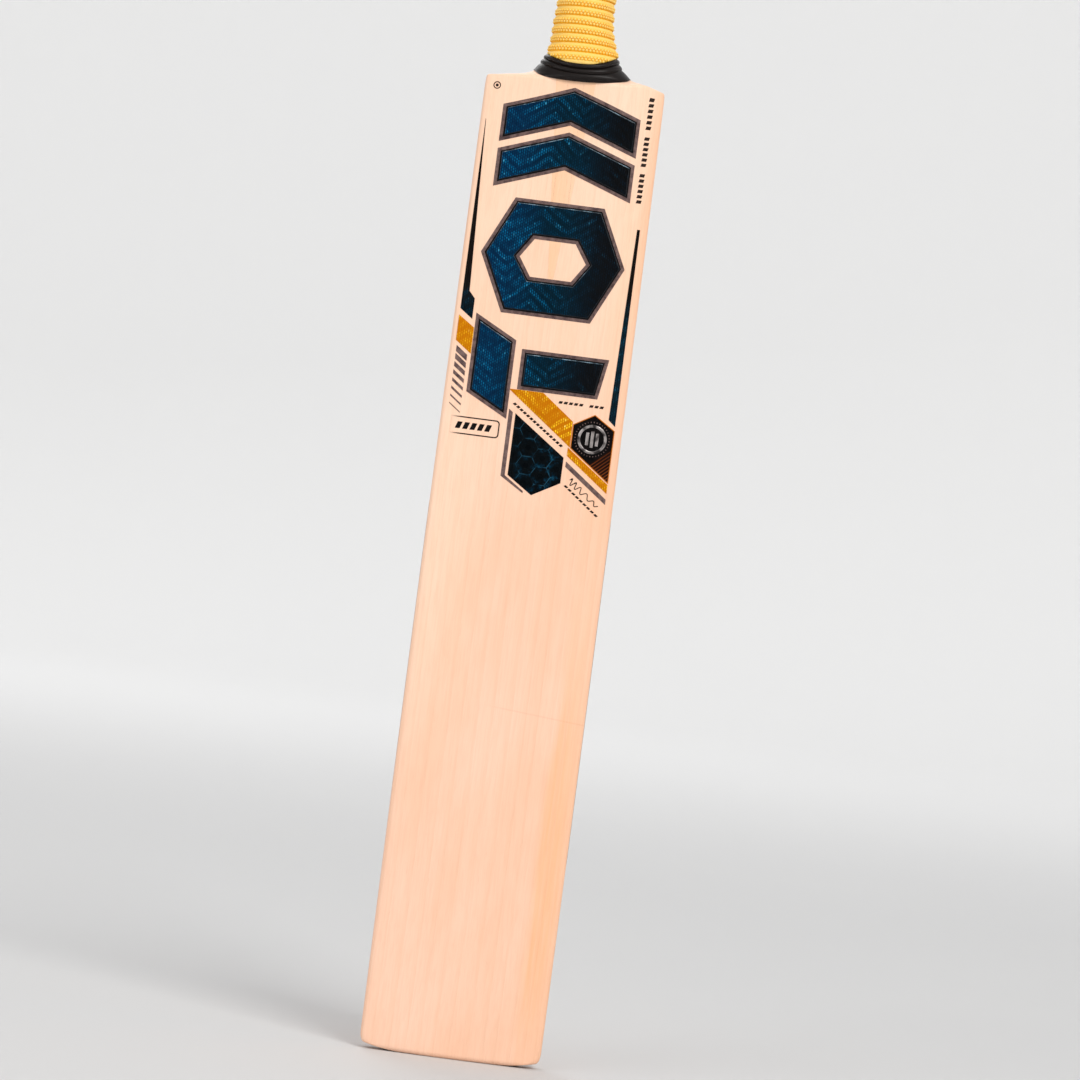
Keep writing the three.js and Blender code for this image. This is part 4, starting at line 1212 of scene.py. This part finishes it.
def make_grip():
    """Ribbed sleeve: each rib is smooth above and carries two rows of beads on its lower lip."""
    ribs = int((GRIP_HIGH[2] - LAST_RIB_BELOW_TOP - FIRST_RIB) / RIB_PITCH)
    tree, ins, outs = geometry_tree("grip_ribs", [
        ("Rib Pitch", FLOAT), ("First Rib", FLOAT), ("Last Rib", FLOAT), ("Rib Height", FLOAT),
        ("Rows", "NodeSocketInt"), ("Beads In A Row", "NodeSocketInt"), ("Bead Radius", FLOAT),
        ("Middle", FLOAT), ("Lean", FLOAT), ("Cover Edge", FLOAT), ("Cover Dip", FLOAT),
        ("Cover Tilt", FLOAT),
    ])
    position = node(tree, "GeometryNodeInputPosition").outputs[0]
    normal = node(tree, "GeometryNodeInputNormal").outputs[0]
    x, y, z = parts_of(tree, position)

    def centre_at(height):
        rise = calc(tree, "SUBTRACT", height, ins["First Rib"])
        return calc(tree, "SUBTRACT", ins["Middle"], calc(tree, "MULTIPLY", rise, ins["Lean"]))

    phase = calc(tree, "FRACT", calc(tree, "ADD", 0.001, calc(
        tree, "DIVIDE", calc(tree, "SUBTRACT", z, ins["First Rib"]), ins["Rib Pitch"])))
    lip = span(tree, phase, 0.0, 0.2)
    slope = span(tree, phase, 0.84, 1.0, 1.0, 0.0)
    profile = calc(tree, "MULTIPLY", lip, slope)
    normal_x, normal_y, _ = parts_of(tree, normal)
    sideways = calc(tree, "MULTIPLY", calc(tree, "SUBTRACT", y, centre_at(z)), normal_y)
    outwards = calc(tree, "MULTIPLY_ADD", x, normal_x, sideways)
    outside = calc(tree, "GREATER_THAN", outwards, 0.0)
    within = calc(tree, "MULTIPLY", calc(tree, "GREATER_THAN", z, ins["First Rib"]),
                  calc(tree, "LESS_THAN", z, ins["Last Rib"]))
    depth = calc(tree, "MULTIPLY", calc(tree, "SUBTRACT", profile, 1.0), ins["Rib Height"])
    depth = calc(tree, "MULTIPLY", depth, calc(tree, "MULTIPLY", outside, within))
    pushed = node(tree, "ShaderNodeVectorMath", {"operation": "SCALE"}, {"Vector": normal, "Scale": depth})
    sleeve = node(tree, "GeometryNodeSetPosition", {}, {
        "Geometry": ins["Geometry"], "Offset": pushed.outputs[0]}).outputs[0]
    # Painted shade: the groove and the beaded lower lip of each rib are marked for the darker shade
    # colour, and the smooth upper band for the full colour.
    lit_share = calc(tree, "MAXIMUM", span(tree, phase, 0.54, 0.7), calc(
        tree, "MULTIPLY", span(tree, phase, 0.02, 0.3), 0.3))
    lit_share = calc(tree, "MULTIPLY", lit_share, slope)
    lit_share = calc(tree, "MAXIMUM", lit_share, calc(tree, "SUBTRACT", 1.0, within))
    stored = node(tree, "GeometryNodeStoreNamedAttribute", {"data_type": "FLOAT", "domain": "POINT"}, {
        "Geometry": sleeve, "Name": "lit_share", "Value": lit_share}).outputs[0]
    shaded = node(tree, "GeometryNodeSetShadeSmooth", {}, {"Geometry": stored}).outputs[0]

    total = calc(tree, "MULTIPLY", ins["Rows"], ins["Beads In A Row"])
    points = node(tree, "GeometryNodeMeshLine", {}, {"Count": total})
    index = node(tree, "GeometryNodeInputIndex").outputs[0]
    row = calc(tree, "FLOOR", calc(tree, "DIVIDE", calc(tree, "ADD", index, 0.5), ins["Beads In A Row"]))
    bead = calc(tree, "SUBTRACT", index, calc(tree, "MULTIPLY", row, ins["Beads In A Row"]))
    odd = calc(tree, "MODULO", row, 2.0)
    rib = calc(tree, "FLOOR", calc(tree, "DIVIDE", calc(tree, "ADD", row, 0.1), 2.0))
    turn = calc(tree, "DIVIDE", calc(tree, "MULTIPLY_ADD", odd, 0.5, bead), ins["Beads In A Row"])
    angle = calc(tree, "MULTIPLY", turn, 2 * math.pi)
    share = calc(tree, "ADD", rib, calc(tree, "MULTIPLY_ADD", odd, 0.26, 0.2))
    height = calc(tree, "MULTIPLY_ADD", share, ins["Rib Pitch"], ins["First Rib"])
    reach = 60 * MM
    cosine, sine = calc(tree, "COSINE", angle), calc(tree, "SINE", angle)
    away = compose(tree, calc(tree, "MULTIPLY", cosine, reach),
                   calc(tree, "MULTIPLY_ADD", sine, reach, centre_at(height)), height)
    inward = compose(tree, calc(tree, "MULTIPLY", cosine, -1.0), calc(tree, "MULTIPLY", sine, -1.0), 0.0)
    spread = node(tree, "GeometryNodeSetPosition", {}, {"Geometry": points.outputs[0], "Position": away})
    hit = node(tree, "GeometryNodeRaycast", {}, {
        "Target Geometry": shaded, "Ray Direction": inward, "Ray Length": reach})
    landed = node(tree, "GeometryNodeSetPosition", {}, {
        "Geometry": spread.outputs[0], "Position": hit.outputs["Hit Position"]}).outputs[0]
    ball = node(tree, "GeometryNodeMeshIcoSphere", {}, {"Subdivisions": 1})
    plug(tree, ball.inputs["Radius"], ins["Bead Radius"])
    # Painted shade: the lower half and sides of each bead are marked for the darker shade colour, and its
    # top for the full colour.
    ball_top = parts_of(tree, node(tree, "GeometryNodeInputPosition").outputs[0])[2]
    marked = node(tree, "GeometryNodeStoreNamedAttribute", {"data_type": "FLOAT", "domain": "POINT"}, {
        "Geometry": ball.outputs[0], "Name": "lit_share",
        "Value": calc(tree, "DIVIDE", ball_top, ins["Bead Radius"])}).outputs[0]
    round_ball = node(tree, "GeometryNodeSetShadeSmooth", {}, {"Geometry": marked}).outputs[0]
    outward = compose(tree, cosine, sine, 0.0)
    facing = node(tree, "FunctionNodeAlignRotationToVector", {"axis": "Z"}, {"Vector": outward}).outputs[0]
    dip = calc(tree, "MULTIPLY", calc(tree, "MULTIPLY", sine, sine), ins["Cover Dip"])
    edge = calc(tree, "MULTIPLY_ADD", cosine, ins["Cover Tilt"], ins["Cover Edge"])
    edge = calc(tree, "SUBTRACT", edge, dip)
    beads = node(tree, "GeometryNodeInstanceOnPoints", {}, {
        "Points": landed, "Selection": calc(tree, "GREATER_THAN", height, edge),
        "Instance": round_ball, "Rotation": facing}).outputs[0]
    together = node(tree, "GeometryNodeJoinGeometry")
    tree.links.new(beads, together.inputs[0])
    tree.links.new(shaded, together.inputs[0])
    close_tree(tree, together.outputs[0], GRIP_RUBBER, outs)
    mesh = grow("ribbed_grip", tree, {
        "Rib Pitch": RIB_PITCH, "First Rib": FIRST_RIB, "Last Rib": FIRST_RIB + ribs * RIB_PITCH,
        "Rib Height": RIB_HEIGHT, "Rows": 2 * ribs, "Beads In A Row": BEADS_IN_A_ROW,
        "Bead Radius": BEAD_RADIUS, "Middle": handle_middle(FIRST_RIB), "Lean": HANDLE_LEAN,
        "Cover Edge": COLLAR_TOP, "Cover Dip": COLLAR_DIP, "Cover Tilt": COLLAR_TILT,
    }, sleeve_mesh(ribs))
    finish_piece("ribbed_grip", mesh, ["grip_sleeve"], [GRIP_RUBBER], 75)


# ------------------------------------------------------------------ stickers

def turning(before, here, after):
    a, b = (here - before).normalized(), (after - here).normalized()
    return abs(a.x * b.y - a.y * b.x)


def outline_of(name, axis, side, plane):
    """Loops round the outer face of a CAD sticker, in the two coordinates of a plane."""
    bm = bmesh.new()
    bm.from_mesh(bpy.data.objects[name].data)
    bmesh.ops.remove_doubles(bm, verts=bm.verts, dist=2e-6)
    bm.normal_update()
    outer = {face for face in bm.faces if face.normal[axis] * side > 0.5}
    rim = [e for e in bm.edges if sum(face in outer for face in e.link_faces) == 1]
    follow = {}
    for edge in rim:
        face = next(face for face in edge.link_faces if face in outer)
        loop = next(loop for loop in face.loops if loop.edge == edge)
        follow[loop.vert.index] = (loop.link_loop_next.vert.index, loop.vert.co.copy())
    bm.free()
    loops = []
    while follow:
        start = next(iter(follow))
        points, at = [], start
        while at in follow:
            at, place = follow.pop(at)
            points.append(Vector((place[plane[0]], place[plane[1]])))
        count = len(points)
        kept = [points[i] for i in range(count)
                if turning(points[i - 1], points[i], points[(i + 1) % count]) > 0.02]
        loops.append(kept)
    return sorted((wind(loop, True) for loop in loops), key=area_of, reverse=True)


def area_of(loop):
    return 0.5 * sum(a.x * b.y - a.y * b.x for a, b in zip(loop, loop[1:] + loop[:1]))


def wind(loop, positive):
    return loop if (area_of(loop) > 0) == positive else list(reversed(loop))


def divided(loop, longest):
    """The loop with its long sides divided, so that a film can follow a curved surface."""
    made = []
    for a, b in zip(loop, loop[1:] + loop[:1]):
        count = max(1, math.ceil((b - a).length / longest))
        made += [a.lerp(b, k / count) for k in range(count)]
    return made


def inset(loop, distance):
    """The loop moved to its left, with mitred corners."""
    made = []
    for before, here, after in zip(loop[-1:] + loop[:-1], loop, loop[1:] + loop[:1]):
        a, b = (here - before).normalized(), (after - here).normalized()
        left_a, left_b = Vector((-a.y, a.x)), Vector((-b.y, b.x))
        made.append(here + (left_a + left_b) * distance / max(0.3, 1 + left_a.dot(left_b)))
    return made


CELL = 7 * MM


def film_mesh(name, loops, rings, place, cell=CELL):
    """Closed film on a surface. Each ring is (inset, height, material); the last one is filled."""
    loops = [wind(loops[0], True)] + [wind(loop, False) for loop in loops[1:]]
    loops = [divided(loop, cell) for loop in loops]
    bm = bmesh.new()
    levels = []
    for distance, height, _ in rings:
        moved = [inset(loop, distance) for loop in loops]
        levels.append([[bm.verts.new((p.x, -height, p.y)) for p in loop] for loop in moved])
    for k in range(len(rings) - 1):
        for low, high in zip(levels[k], levels[k + 1]):
            for i in range(len(low)):
                j = (i + 1) % len(low)
                bm.faces.new((low[i], low[j], high[j], high[i])).material_index = rings[k + 1][2]
    for level, number in ((levels[0], rings[0][2]), (levels[-1], rings[-1][2])):
        flat = [v for loop in level for v in loop]
        shape = [[Vector((v.co.x, v.co.z, 0)) for v in loop] for loop in level]
        for triangle in tessellate_polygon(shape):
            try:
                bm.faces.new([flat[i] for i in triangle]).material_index = number
            except ValueError:
                pass
    for axis in (0, 2):
        values = [v.co[axis] for v in bm.verts]
        for k in range(math.ceil(min(values) / cell), math.floor(max(values) / cell) + 1):
            spot, direction = Vector((0, 0, 0)), Vector((0, 0, 0))
            spot[axis], direction[axis] = k * cell, 1.0
            geometry = bm.verts[:] + bm.edges[:] + bm.faces[:]
            bmesh.ops.bisect_plane(bm, geom=geometry, dist=1e-6, plane_co=spot, plane_no=direction)
    for v in bm.verts:
        v.co = place(v.co.x, -v.co.y, v.co.z)
    bmesh.ops.recalc_face_normals(bm, faces=bm.faces)
    mesh = bpy.data.meshes.new(name)
    bm.to_mesh(mesh)
    bm.free()
    return mesh


def on_face(x, height, z):
    return Vector((x, front_y(x, z) - height, z))


def on_back(x, height, z):
    return Vector((x, back_y(x, z) + height, z))


def on_edge(side, y, height, z):
    return Vector((side * (half_width(z) + height), y, z))


FILM_ANGLE = 50
BACK_CELL = 4 * MM
SEAT = 0.02 * MM
BORDER = 2.0 * MM
FILM_TOP = 0.22 * MM
FLAT_FILM = [(0, SEAT, 0), (0, 0.1 * MM, 0), (0.08 * MM, 0.16 * MM, 0)]
GROWN_FILM = [(-0.35 * MM, SEAT, 0), (-0.35 * MM, 0.08 * MM, 0), (-0.27 * MM, 0.12 * MM, 0)]
RIMMED_FILM = [(0, SEAT, 0), (0, 0.14 * MM, 0), (0.08 * MM, 0.2 * MM, 0), (0.45 * MM, 0.2 * MM, 0),
               (0.5 * MM, 0.2 * MM, 1)]
LINED_FILM = [(0, SEAT, 0), (0, 0.1 * MM, 0), (0.08 * MM, 0.16 * MM, 0), (1.6 * MM, 0.16 * MM, 0),
              (1.65 * MM, 0.16 * MM, 1), (2.3 * MM, 0.16 * MM, 1), (2.35 * MM, 0.16 * MM, 2)]
RAISED_PANEL = [
    (0, SEAT, 0),
    (0, 0.14 * MM, 0),
    (0.1 * MM, FILM_TOP, 0),
    (BORDER - 0.05 * MM, FILM_TOP, 0),
    (BORDER, FILM_TOP, 1),
    (BORDER + 0.72 * MM, FILM_TOP, 1),
    (BORDER + 0.85 * MM, 0.5 * MM, 3),
    (BORDER + 1.15 * MM, 0.68 * MM, 3),
    (BORDER + 1.4 * MM, 0.7 * MM, 2),
    (BORDER + 1.7 * MM, 0.62 * MM, 2),
]
FLAT_PRINT = [(0, SEAT, 0), (0, 0.05 * MM, 0), (0.03 * MM, 0.07 * MM, 0)]


def sticker(name, loops, rings, place, nodes, materials, cell=CELL):
    mesh = film_mesh(name, loops, rings, place, cell)
    finish_piece(name, mesh, nodes, materials, FILM_ANGLE)


def face_sticker(name, node_name, materials, rings=FLAT_FILM):
    loops = outline_of(node_name, 1, -1, (0, 2))
    sticker(name, loops, rings, on_face, [node_name], materials)


def circle(x, z, radius, count=72):
    return [Vector((x + radius * math.cos(2 * math.pi * k / count),
                    z + radius * math.sin(2 * math.pi * k / count))) for k in range(count)]


def make_face_stickers():
    for name in ("chevron_upper", "chevron_lower", "hexagon_ring", "slash_left", "slash_right"):
        face_sticker(f"raised_{name}", f"panel_{name}",
                     [GREY_FILM, BLACK_FILM, BLUE_FOIL, BEVEL_FOIL], RAISED_PANEL)
    for name in ("stripe_left", "stripe_right"):
        face_sticker(f"{name}_film", name, [STRIPE_FOIL])
    for name in ("gold_patch", "gold_band", "gold_strip"):
        face_sticker(f"{name}_foil", name, [GOLD_FOIL], GROWN_FILM)
    for k in range(1, 9):
        face_sticker(f"slanted_bar_{k}", f"hatch_bar_{k}", [GREY_FILM])
    face_sticker("shield_trim_film", "shield_trim", [GREY_FILM])
    face_sticker("grey_bar_film", "grey_bar", [GREY_FILM], GROWN_FILM)
    face_sticker("plate_outline", "plate_frame", [FADING_INK])
    face_sticker("shield_comb", "shield", [SHIELD_FILM])
    face_sticker("badge_plate", "badge", [AMBER_INK, BADGE_FILM], RIMMED_FILM)


def joined(parts):
    """One mesh out of several."""
    bm = bmesh.new()
    for part in parts:
        bm.from_mesh(part)
        bpy.data.meshes.remove(part)
    mesh = bpy.data.meshes.new("joined")
    bm.to_mesh(mesh)
    bm.free()
    return mesh


BADGE_TOP = 0.18 * MM
EMBLEM_BAND = 1.6 * MM
SLAT_PITCH, SLAT_WIDTH = 2.9 * MM, 1.7 * MM
LONG_SLAT, SHORT_SLAT = 9.6 * MM, 7.4 * MM
EMBLEM_RING = [(0, BADGE_TOP, 0), (0, 0.35 * MM, 0), (0.2 * MM, 0.5 * MM, 0), (0.6 * MM, 0.55 * MM, 0)]
EMBLEM_DISC = [(0, BADGE_TOP, 0), (0, 0.26 * MM, 0), (0.2 * MM, 0.3 * MM, 0)]
EMBLEM_SLAT = [(0, BADGE_TOP, 1), (0, 0.42 * MM, 1), (0.15 * MM, 0.5 * MM, 1), (0.3 * MM, 0.52 * MM, 1)]


def make_emblem():
    """Round emblem of the badge: a raised ring round a dark disc with three plain slats."""
    low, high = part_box("badge_ring")
    x, z = (low[0] + high[0]) / 2, (low[2] + high[2]) / 2
    outer = (high[0] - low[0]) / 2
    loops = [circle(x, z, outer), circle(x, z, outer - EMBLEM_BAND)]
    sticker("emblem_ring", loops, EMBLEM_RING, on_face, ["badge_ring"], [SILVER_FOIL])
    low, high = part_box("badge_core")
    parts = [film_mesh("core", [circle(x, z, (high[0] - low[0]) / 2)], EMBLEM_DISC, on_face)]
    for k in (-1, 0, 1):
        slat = bar(x + k * SLAT_PITCH, z, SLAT_WIDTH, SHORT_SLAT if k else LONG_SLAT, 0)
        parts.append(film_mesh("slat", [slat], EMBLEM_SLAT, on_face))
    finish_piece("emblem_stud", joined(parts), ["badge_core"],
                 [BLACK_FILM, SILVER_FOIL], FILM_ANGLE)
    return x, z, outer


def bar(x, z, length, width, angle, slant=0.0):
    """Outline of a short bar centred on a point, turned by an angle and leaning by a slant."""
    half, side = length / 2, width / 2
    corners = [(-half - slant, -side), (half - slant, -side), (half + slant, side), (-half + slant, side)]
    c, s = math.cos(angle), math.sin(angle)
    return [Vector((x + a * c - b * s, z + a * s + b * c)) for a, b in corners]


WAVE_POINTS = 72
WAVE_FADE = 0.6
WAVE_SWAY, WAVE_SWAY_PACE = 2.2, 5


def wave(start, end, height, turns, width):
    """Outline of a ribbon that waves about a straight line, its waves dying away."""
    along = end - start
    left = Vector((-along.y, along.x)).normalized()
    path = []
    for t in steps(0, 1, WAVE_POINTS):
        swing = math.sin(2 * math.pi * turns * t + WAVE_SWAY * math.sin(WAVE_SWAY_PACE * t))
        rise = swing * height * (1 - WAVE_FADE * t)
        path.append(start + along * t + left * rise)
    sides = []
    for before, here, after in zip(path[:1] + path[:-1], path, path[1:] + path[-1:]):
        ahead = (after - before).normalized()
        sides.append((here, Vector((-ahead.y, ahead.x)) * width / 2))
    return [p + o for p, o in sides] + [p - o for p, o in reversed(sides)]


SLANT = 0.3 * MM
SIDE_ROWS = 20
SIDE_ROWS_LEFT_OUT = (6, 13)
PLATE_SLASHES = 5
EMBLEM_TICKS = 36
DIAGONAL_DASHES = 15
DIAGONAL_START, DIAGONAL_END = Vector((-12, 382)) * MM, Vector((19.5, 360)) * MM
LOW_DASHES = 9
LOW_DASHES_START, LOW_DASHES_STEP = Vector((24.5, 337.5)), Vector((2.4, -1.8))
LEVEL_DASHES = 9
LEVEL_DASH_LEFT_OUT = 5
WAVE_START, WAVE_END = Vector((26, 341.5)) * MM, Vector((44, 328)) * MM
ROUND_MARK = (-45 * MM, 564 * MM)


def middle_of(low, high, count):
    """Middles of equal shares between two places."""
    return [low + (high - low) * (k + 0.5) / count for k in range(count)]


def face_marks():
    """Three rows of dashes on the face: diagonal, level and low."""
    fall = DIAGONAL_END - DIAGONAL_START
    slope = math.atan2(fall.y, fall.x)
    marks = [bar(p.x, p.y, 1.75 * MM, 1.5 * MM, slope, SLANT)
             for p in middle_of(DIAGONAL_START, DIAGONAL_END, DIAGONAL_DASHES)]
    marks += [bar((15.2 + 3.0 * k) * MM, 385.6 * MM, 2.1 * MM, 1.5 * MM, 0, SLANT)
              for k in range(LEVEL_DASHES) if k != LEVEL_DASH_LEFT_OUT]
    for k in range(LOW_DASHES):
        p = (LOW_DASHES_START + LOW_DASHES_STEP * k) * MM
        marks.append(bar(p.x, p.y, 2.1 * MM, 1.2 * MM, slope, SLANT))
    return marks


def make_prints(x, z, outer):
    """Plain printed dashes, blocks and a wave; the ticks stand round the emblem."""
    low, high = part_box("side_print")
    across = (low[0] + high[0]) / 2
    side = [bar(across, up, 2.9 * MM, 1.9 * MM, 0, 0.25 * MM)
            for k, up in enumerate(middle_of(low[2], high[2], SIDE_ROWS)) if k not in SIDE_ROWS_LEFT_OUT]
    prints("side_dashes", side, ["side_print"], PRINT_INK)
    low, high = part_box("plate_bar")
    width = (high[0] - low[0]) / PLATE_SLASHES * 0.66
    plate = [bar(across, (low[2] + high[2]) / 2, width, high[2] - low[2], 0, 0.7 * MM)
             for across in middle_of(low[0], high[0], PLATE_SLASHES)]
    prints("plate_slashes", plate, ["plate_bar"], BLACK_FILM)
    reach = outer + 1.5 * MM
    turns = [2 * math.pi * k / EMBLEM_TICKS for k in range(EMBLEM_TICKS)]
    ticks = [bar(x + reach * math.cos(a), z + reach * math.sin(a), 0.7 * MM, 0.45 * MM, a) for a in turns]
    prints("emblem_ticks", ticks, [], GREY_FILM, BADGE_TOP)
    prints("face_dashes", face_marks(), [], PRINT_INK)
    stroke = wave(WAVE_START, WAVE_END, 2.1 * MM, 5.5, 0.55 * MM)
    prints("face_wave", [stroke], [], PRINT_INK)
    ring = [circle(*ROUND_MARK, radius * MM, 40) for radius in (2.2, 1.6)]
    sticker("round_mark", ring, FLAT_PRINT, on_face, [], [PRINT_INK])
    prints("round_dot", [circle(*ROUND_MARK, 0.9 * MM, 24)], [], PRINT_INK)


def prints(name, outlines, nodes, material, base=0.0):
    rings = [(a, height + base, number) for a, height, number in FLAT_PRINT]
    mesh = joined([film_mesh("part", [outline], rings, on_face) for outline in outlines])
    finish_piece(name, mesh, nodes, [material], FILM_ANGLE)


def make_other_stickers():
    """Stickers on the side edges and on the back, right and left."""
    for side, hand in ((1, "right"), (-1, "left")):
        edge, panel, band = f"edge_sticker_{hand}", f"back_panel_{hand}", f"back_band_{hand}"
        sticker(f"edge_film_{hand}", outline_of(edge, 0, side, (1, 2)), LINED_FILM, partial(on_edge, side),
                [edge], [EDGE_FILM, GREY_FILM, STRIPE_FOIL])
        sticker(f"back_film_{hand}", outline_of(panel, 1, 1, (0, 2)), RAISED_PANEL, on_back,
                [panel], [GREY_FILM, BLACK_FILM, BACK_FOIL, BEVEL_FOIL], BACK_CELL)
        sticker(f"back_foil_{hand}", outline_of(band, 1, 1, (0, 2)), FLAT_FILM, on_back,
                [band], [GOLD_FOIL], BACK_CELL)


# ------------------------------------------------------------------ studio

def make_stage():
    """Pale floor that sweeps up into a wall all round."""
    radius, wall, rise = 5.2, 2.4, 4.0
    profile = [(r, 0.0) for r in steps(0.0, radius, 9)]
    profile += [(radius + wall * math.sin(a), wall - wall * math.cos(a))
                for a in steps(math.radians(6), math.radians(90), 15)]
    profile.append((radius + wall, wall + rise))
    count = 96
    verts, faces = [Vector((0, 0, 0))], []
    for r, z in profile[1:]:
        verts += [Vector((r * math.cos(2 * math.pi * i / count), r * math.sin(2 * math.pi * i / count), z))
                  for i in range(count)]
    for i in range(count):
        faces.append((0, 1 + i, 1 + (i + 1) % count))
    for k in range(len(profile) - 2):
        for i in range(count):
            a, b = 1 + k * count + i, 1 + k * count + (i + 1) % count
            faces.append((a, a + count, b + count, b))
    mesh = mesh_from("studio_floor", verts, faces)
    for polygon in mesh.polygons:
        polygon.use_smooth = True
    floor = add_object("studio_floor", mesh)
    material, tree, shader, place = new_material("studio_paint", 0.75, {"Specular IOR Level": 0.2})
    tone = noise(tree, place, 3.0, 3.0, 0.5)
    near = blend_colours(tree, tone, (0.6, 0.6, 0.605, 1), (0.63, 0.63, 0.63, 1))
    away = node(tree, "ShaderNodeVectorMath", {"operation": "LENGTH"}, {"Vector": place}).outputs["Value"]
    plug(tree, shader.inputs["Base Color"], blend_colours(
        tree, span(tree, away, 1.5, 7.0), near, (0.86, 0.86, 0.86, 1)))
    plug(tree, shader.inputs["Roughness"], span(tree, tone, 0.3, 0.7, 0.7, 0.85, "LINEAR"))
    mesh.materials.append(material)


def add_light(name, place, target, size, power, colour=(1, 1, 1)):
    data = bpy.data.lights.new(name, "AREA")
    data.shape = "RECTANGLE"
    data.size, data.size_y = size
    data.energy = power
    data.color = colour
    light = bpy.data.objects.new(name, data)
    light.location = place
    light.rotation_mode = "QUATERNION"
    light.rotation_quaternion = (Vector(target) - Vector(place)).to_track_quat("-Z", "Y")
    bpy.context.scene.collection.objects.link(light)


def make_lights():
    middle = (0, 0, BAT_LENGTH * 0.45)
    add_light("key", (2.3, -4.0, 4.2), middle, (2.6, 2.6), 190, (1.0, 0.985, 0.96))
    add_light("fill", (-3.2, -3.6, 1.8), middle, (2.6, 2.6), 50, (0.97, 0.985, 1.0))
    add_light("back", (-1.4, 4.2, 3.6), middle, (2.6, 2.6), 60)
    add_light("backdrop", (0.0, 3.0, 3.6), (0.0, 7.4, 1.6), (5.0, 1.2), 34)
    world = bpy.data.worlds.new("studio")
    world.use_nodes = True
    world.node_tree.nodes["Background"].inputs["Color"].default_value = (1, 1, 1, 1)
    world.node_tree.nodes["Background"].inputs["Strength"].default_value = 0.62
    bpy.context.scene.world = world


def make_camera():
    """Square on to the face, rolled so that the bat leans to the right."""
    lean = math.radians(7.43)
    seen_width = 626.8 * MM
    distance = 2.6
    aim_x, aim_z = 13.6 * MM, 304.9 * MM
    middle = Vector((aim_x, face_middle(300 * MM), aim_z))
    data = bpy.data.cameras.new("camera")
    data.sensor_width = sensor = 36
    data.lens = sensor * distance / seen_width
    data.clip_start, data.clip_end = 0.05, 40
    camera = bpy.data.objects.new("camera", data)
    right = Vector((math.cos(lean), 0, math.sin(lean)))
    up = Vector((-math.sin(lean), 0, math.cos(lean)))
    back = Vector((0, -1, 0))
    turn = Matrix((right, up, back)).transposed().to_4x4()
    camera.matrix_world = Matrix.Translation(middle + back * distance) @ turn
    bpy.context.scene.collection.objects.link(camera)
    bpy.context.scene.camera = camera


make_camera()
make_blade()
make_handle()
make_twine()
make_collar()
make_grip()
make_face_stickers()
make_prints(*make_emblem())
make_other_stickers()
make_stage()
make_lights()
bpy.context.scene.view_settings.view_transform = "Standard"
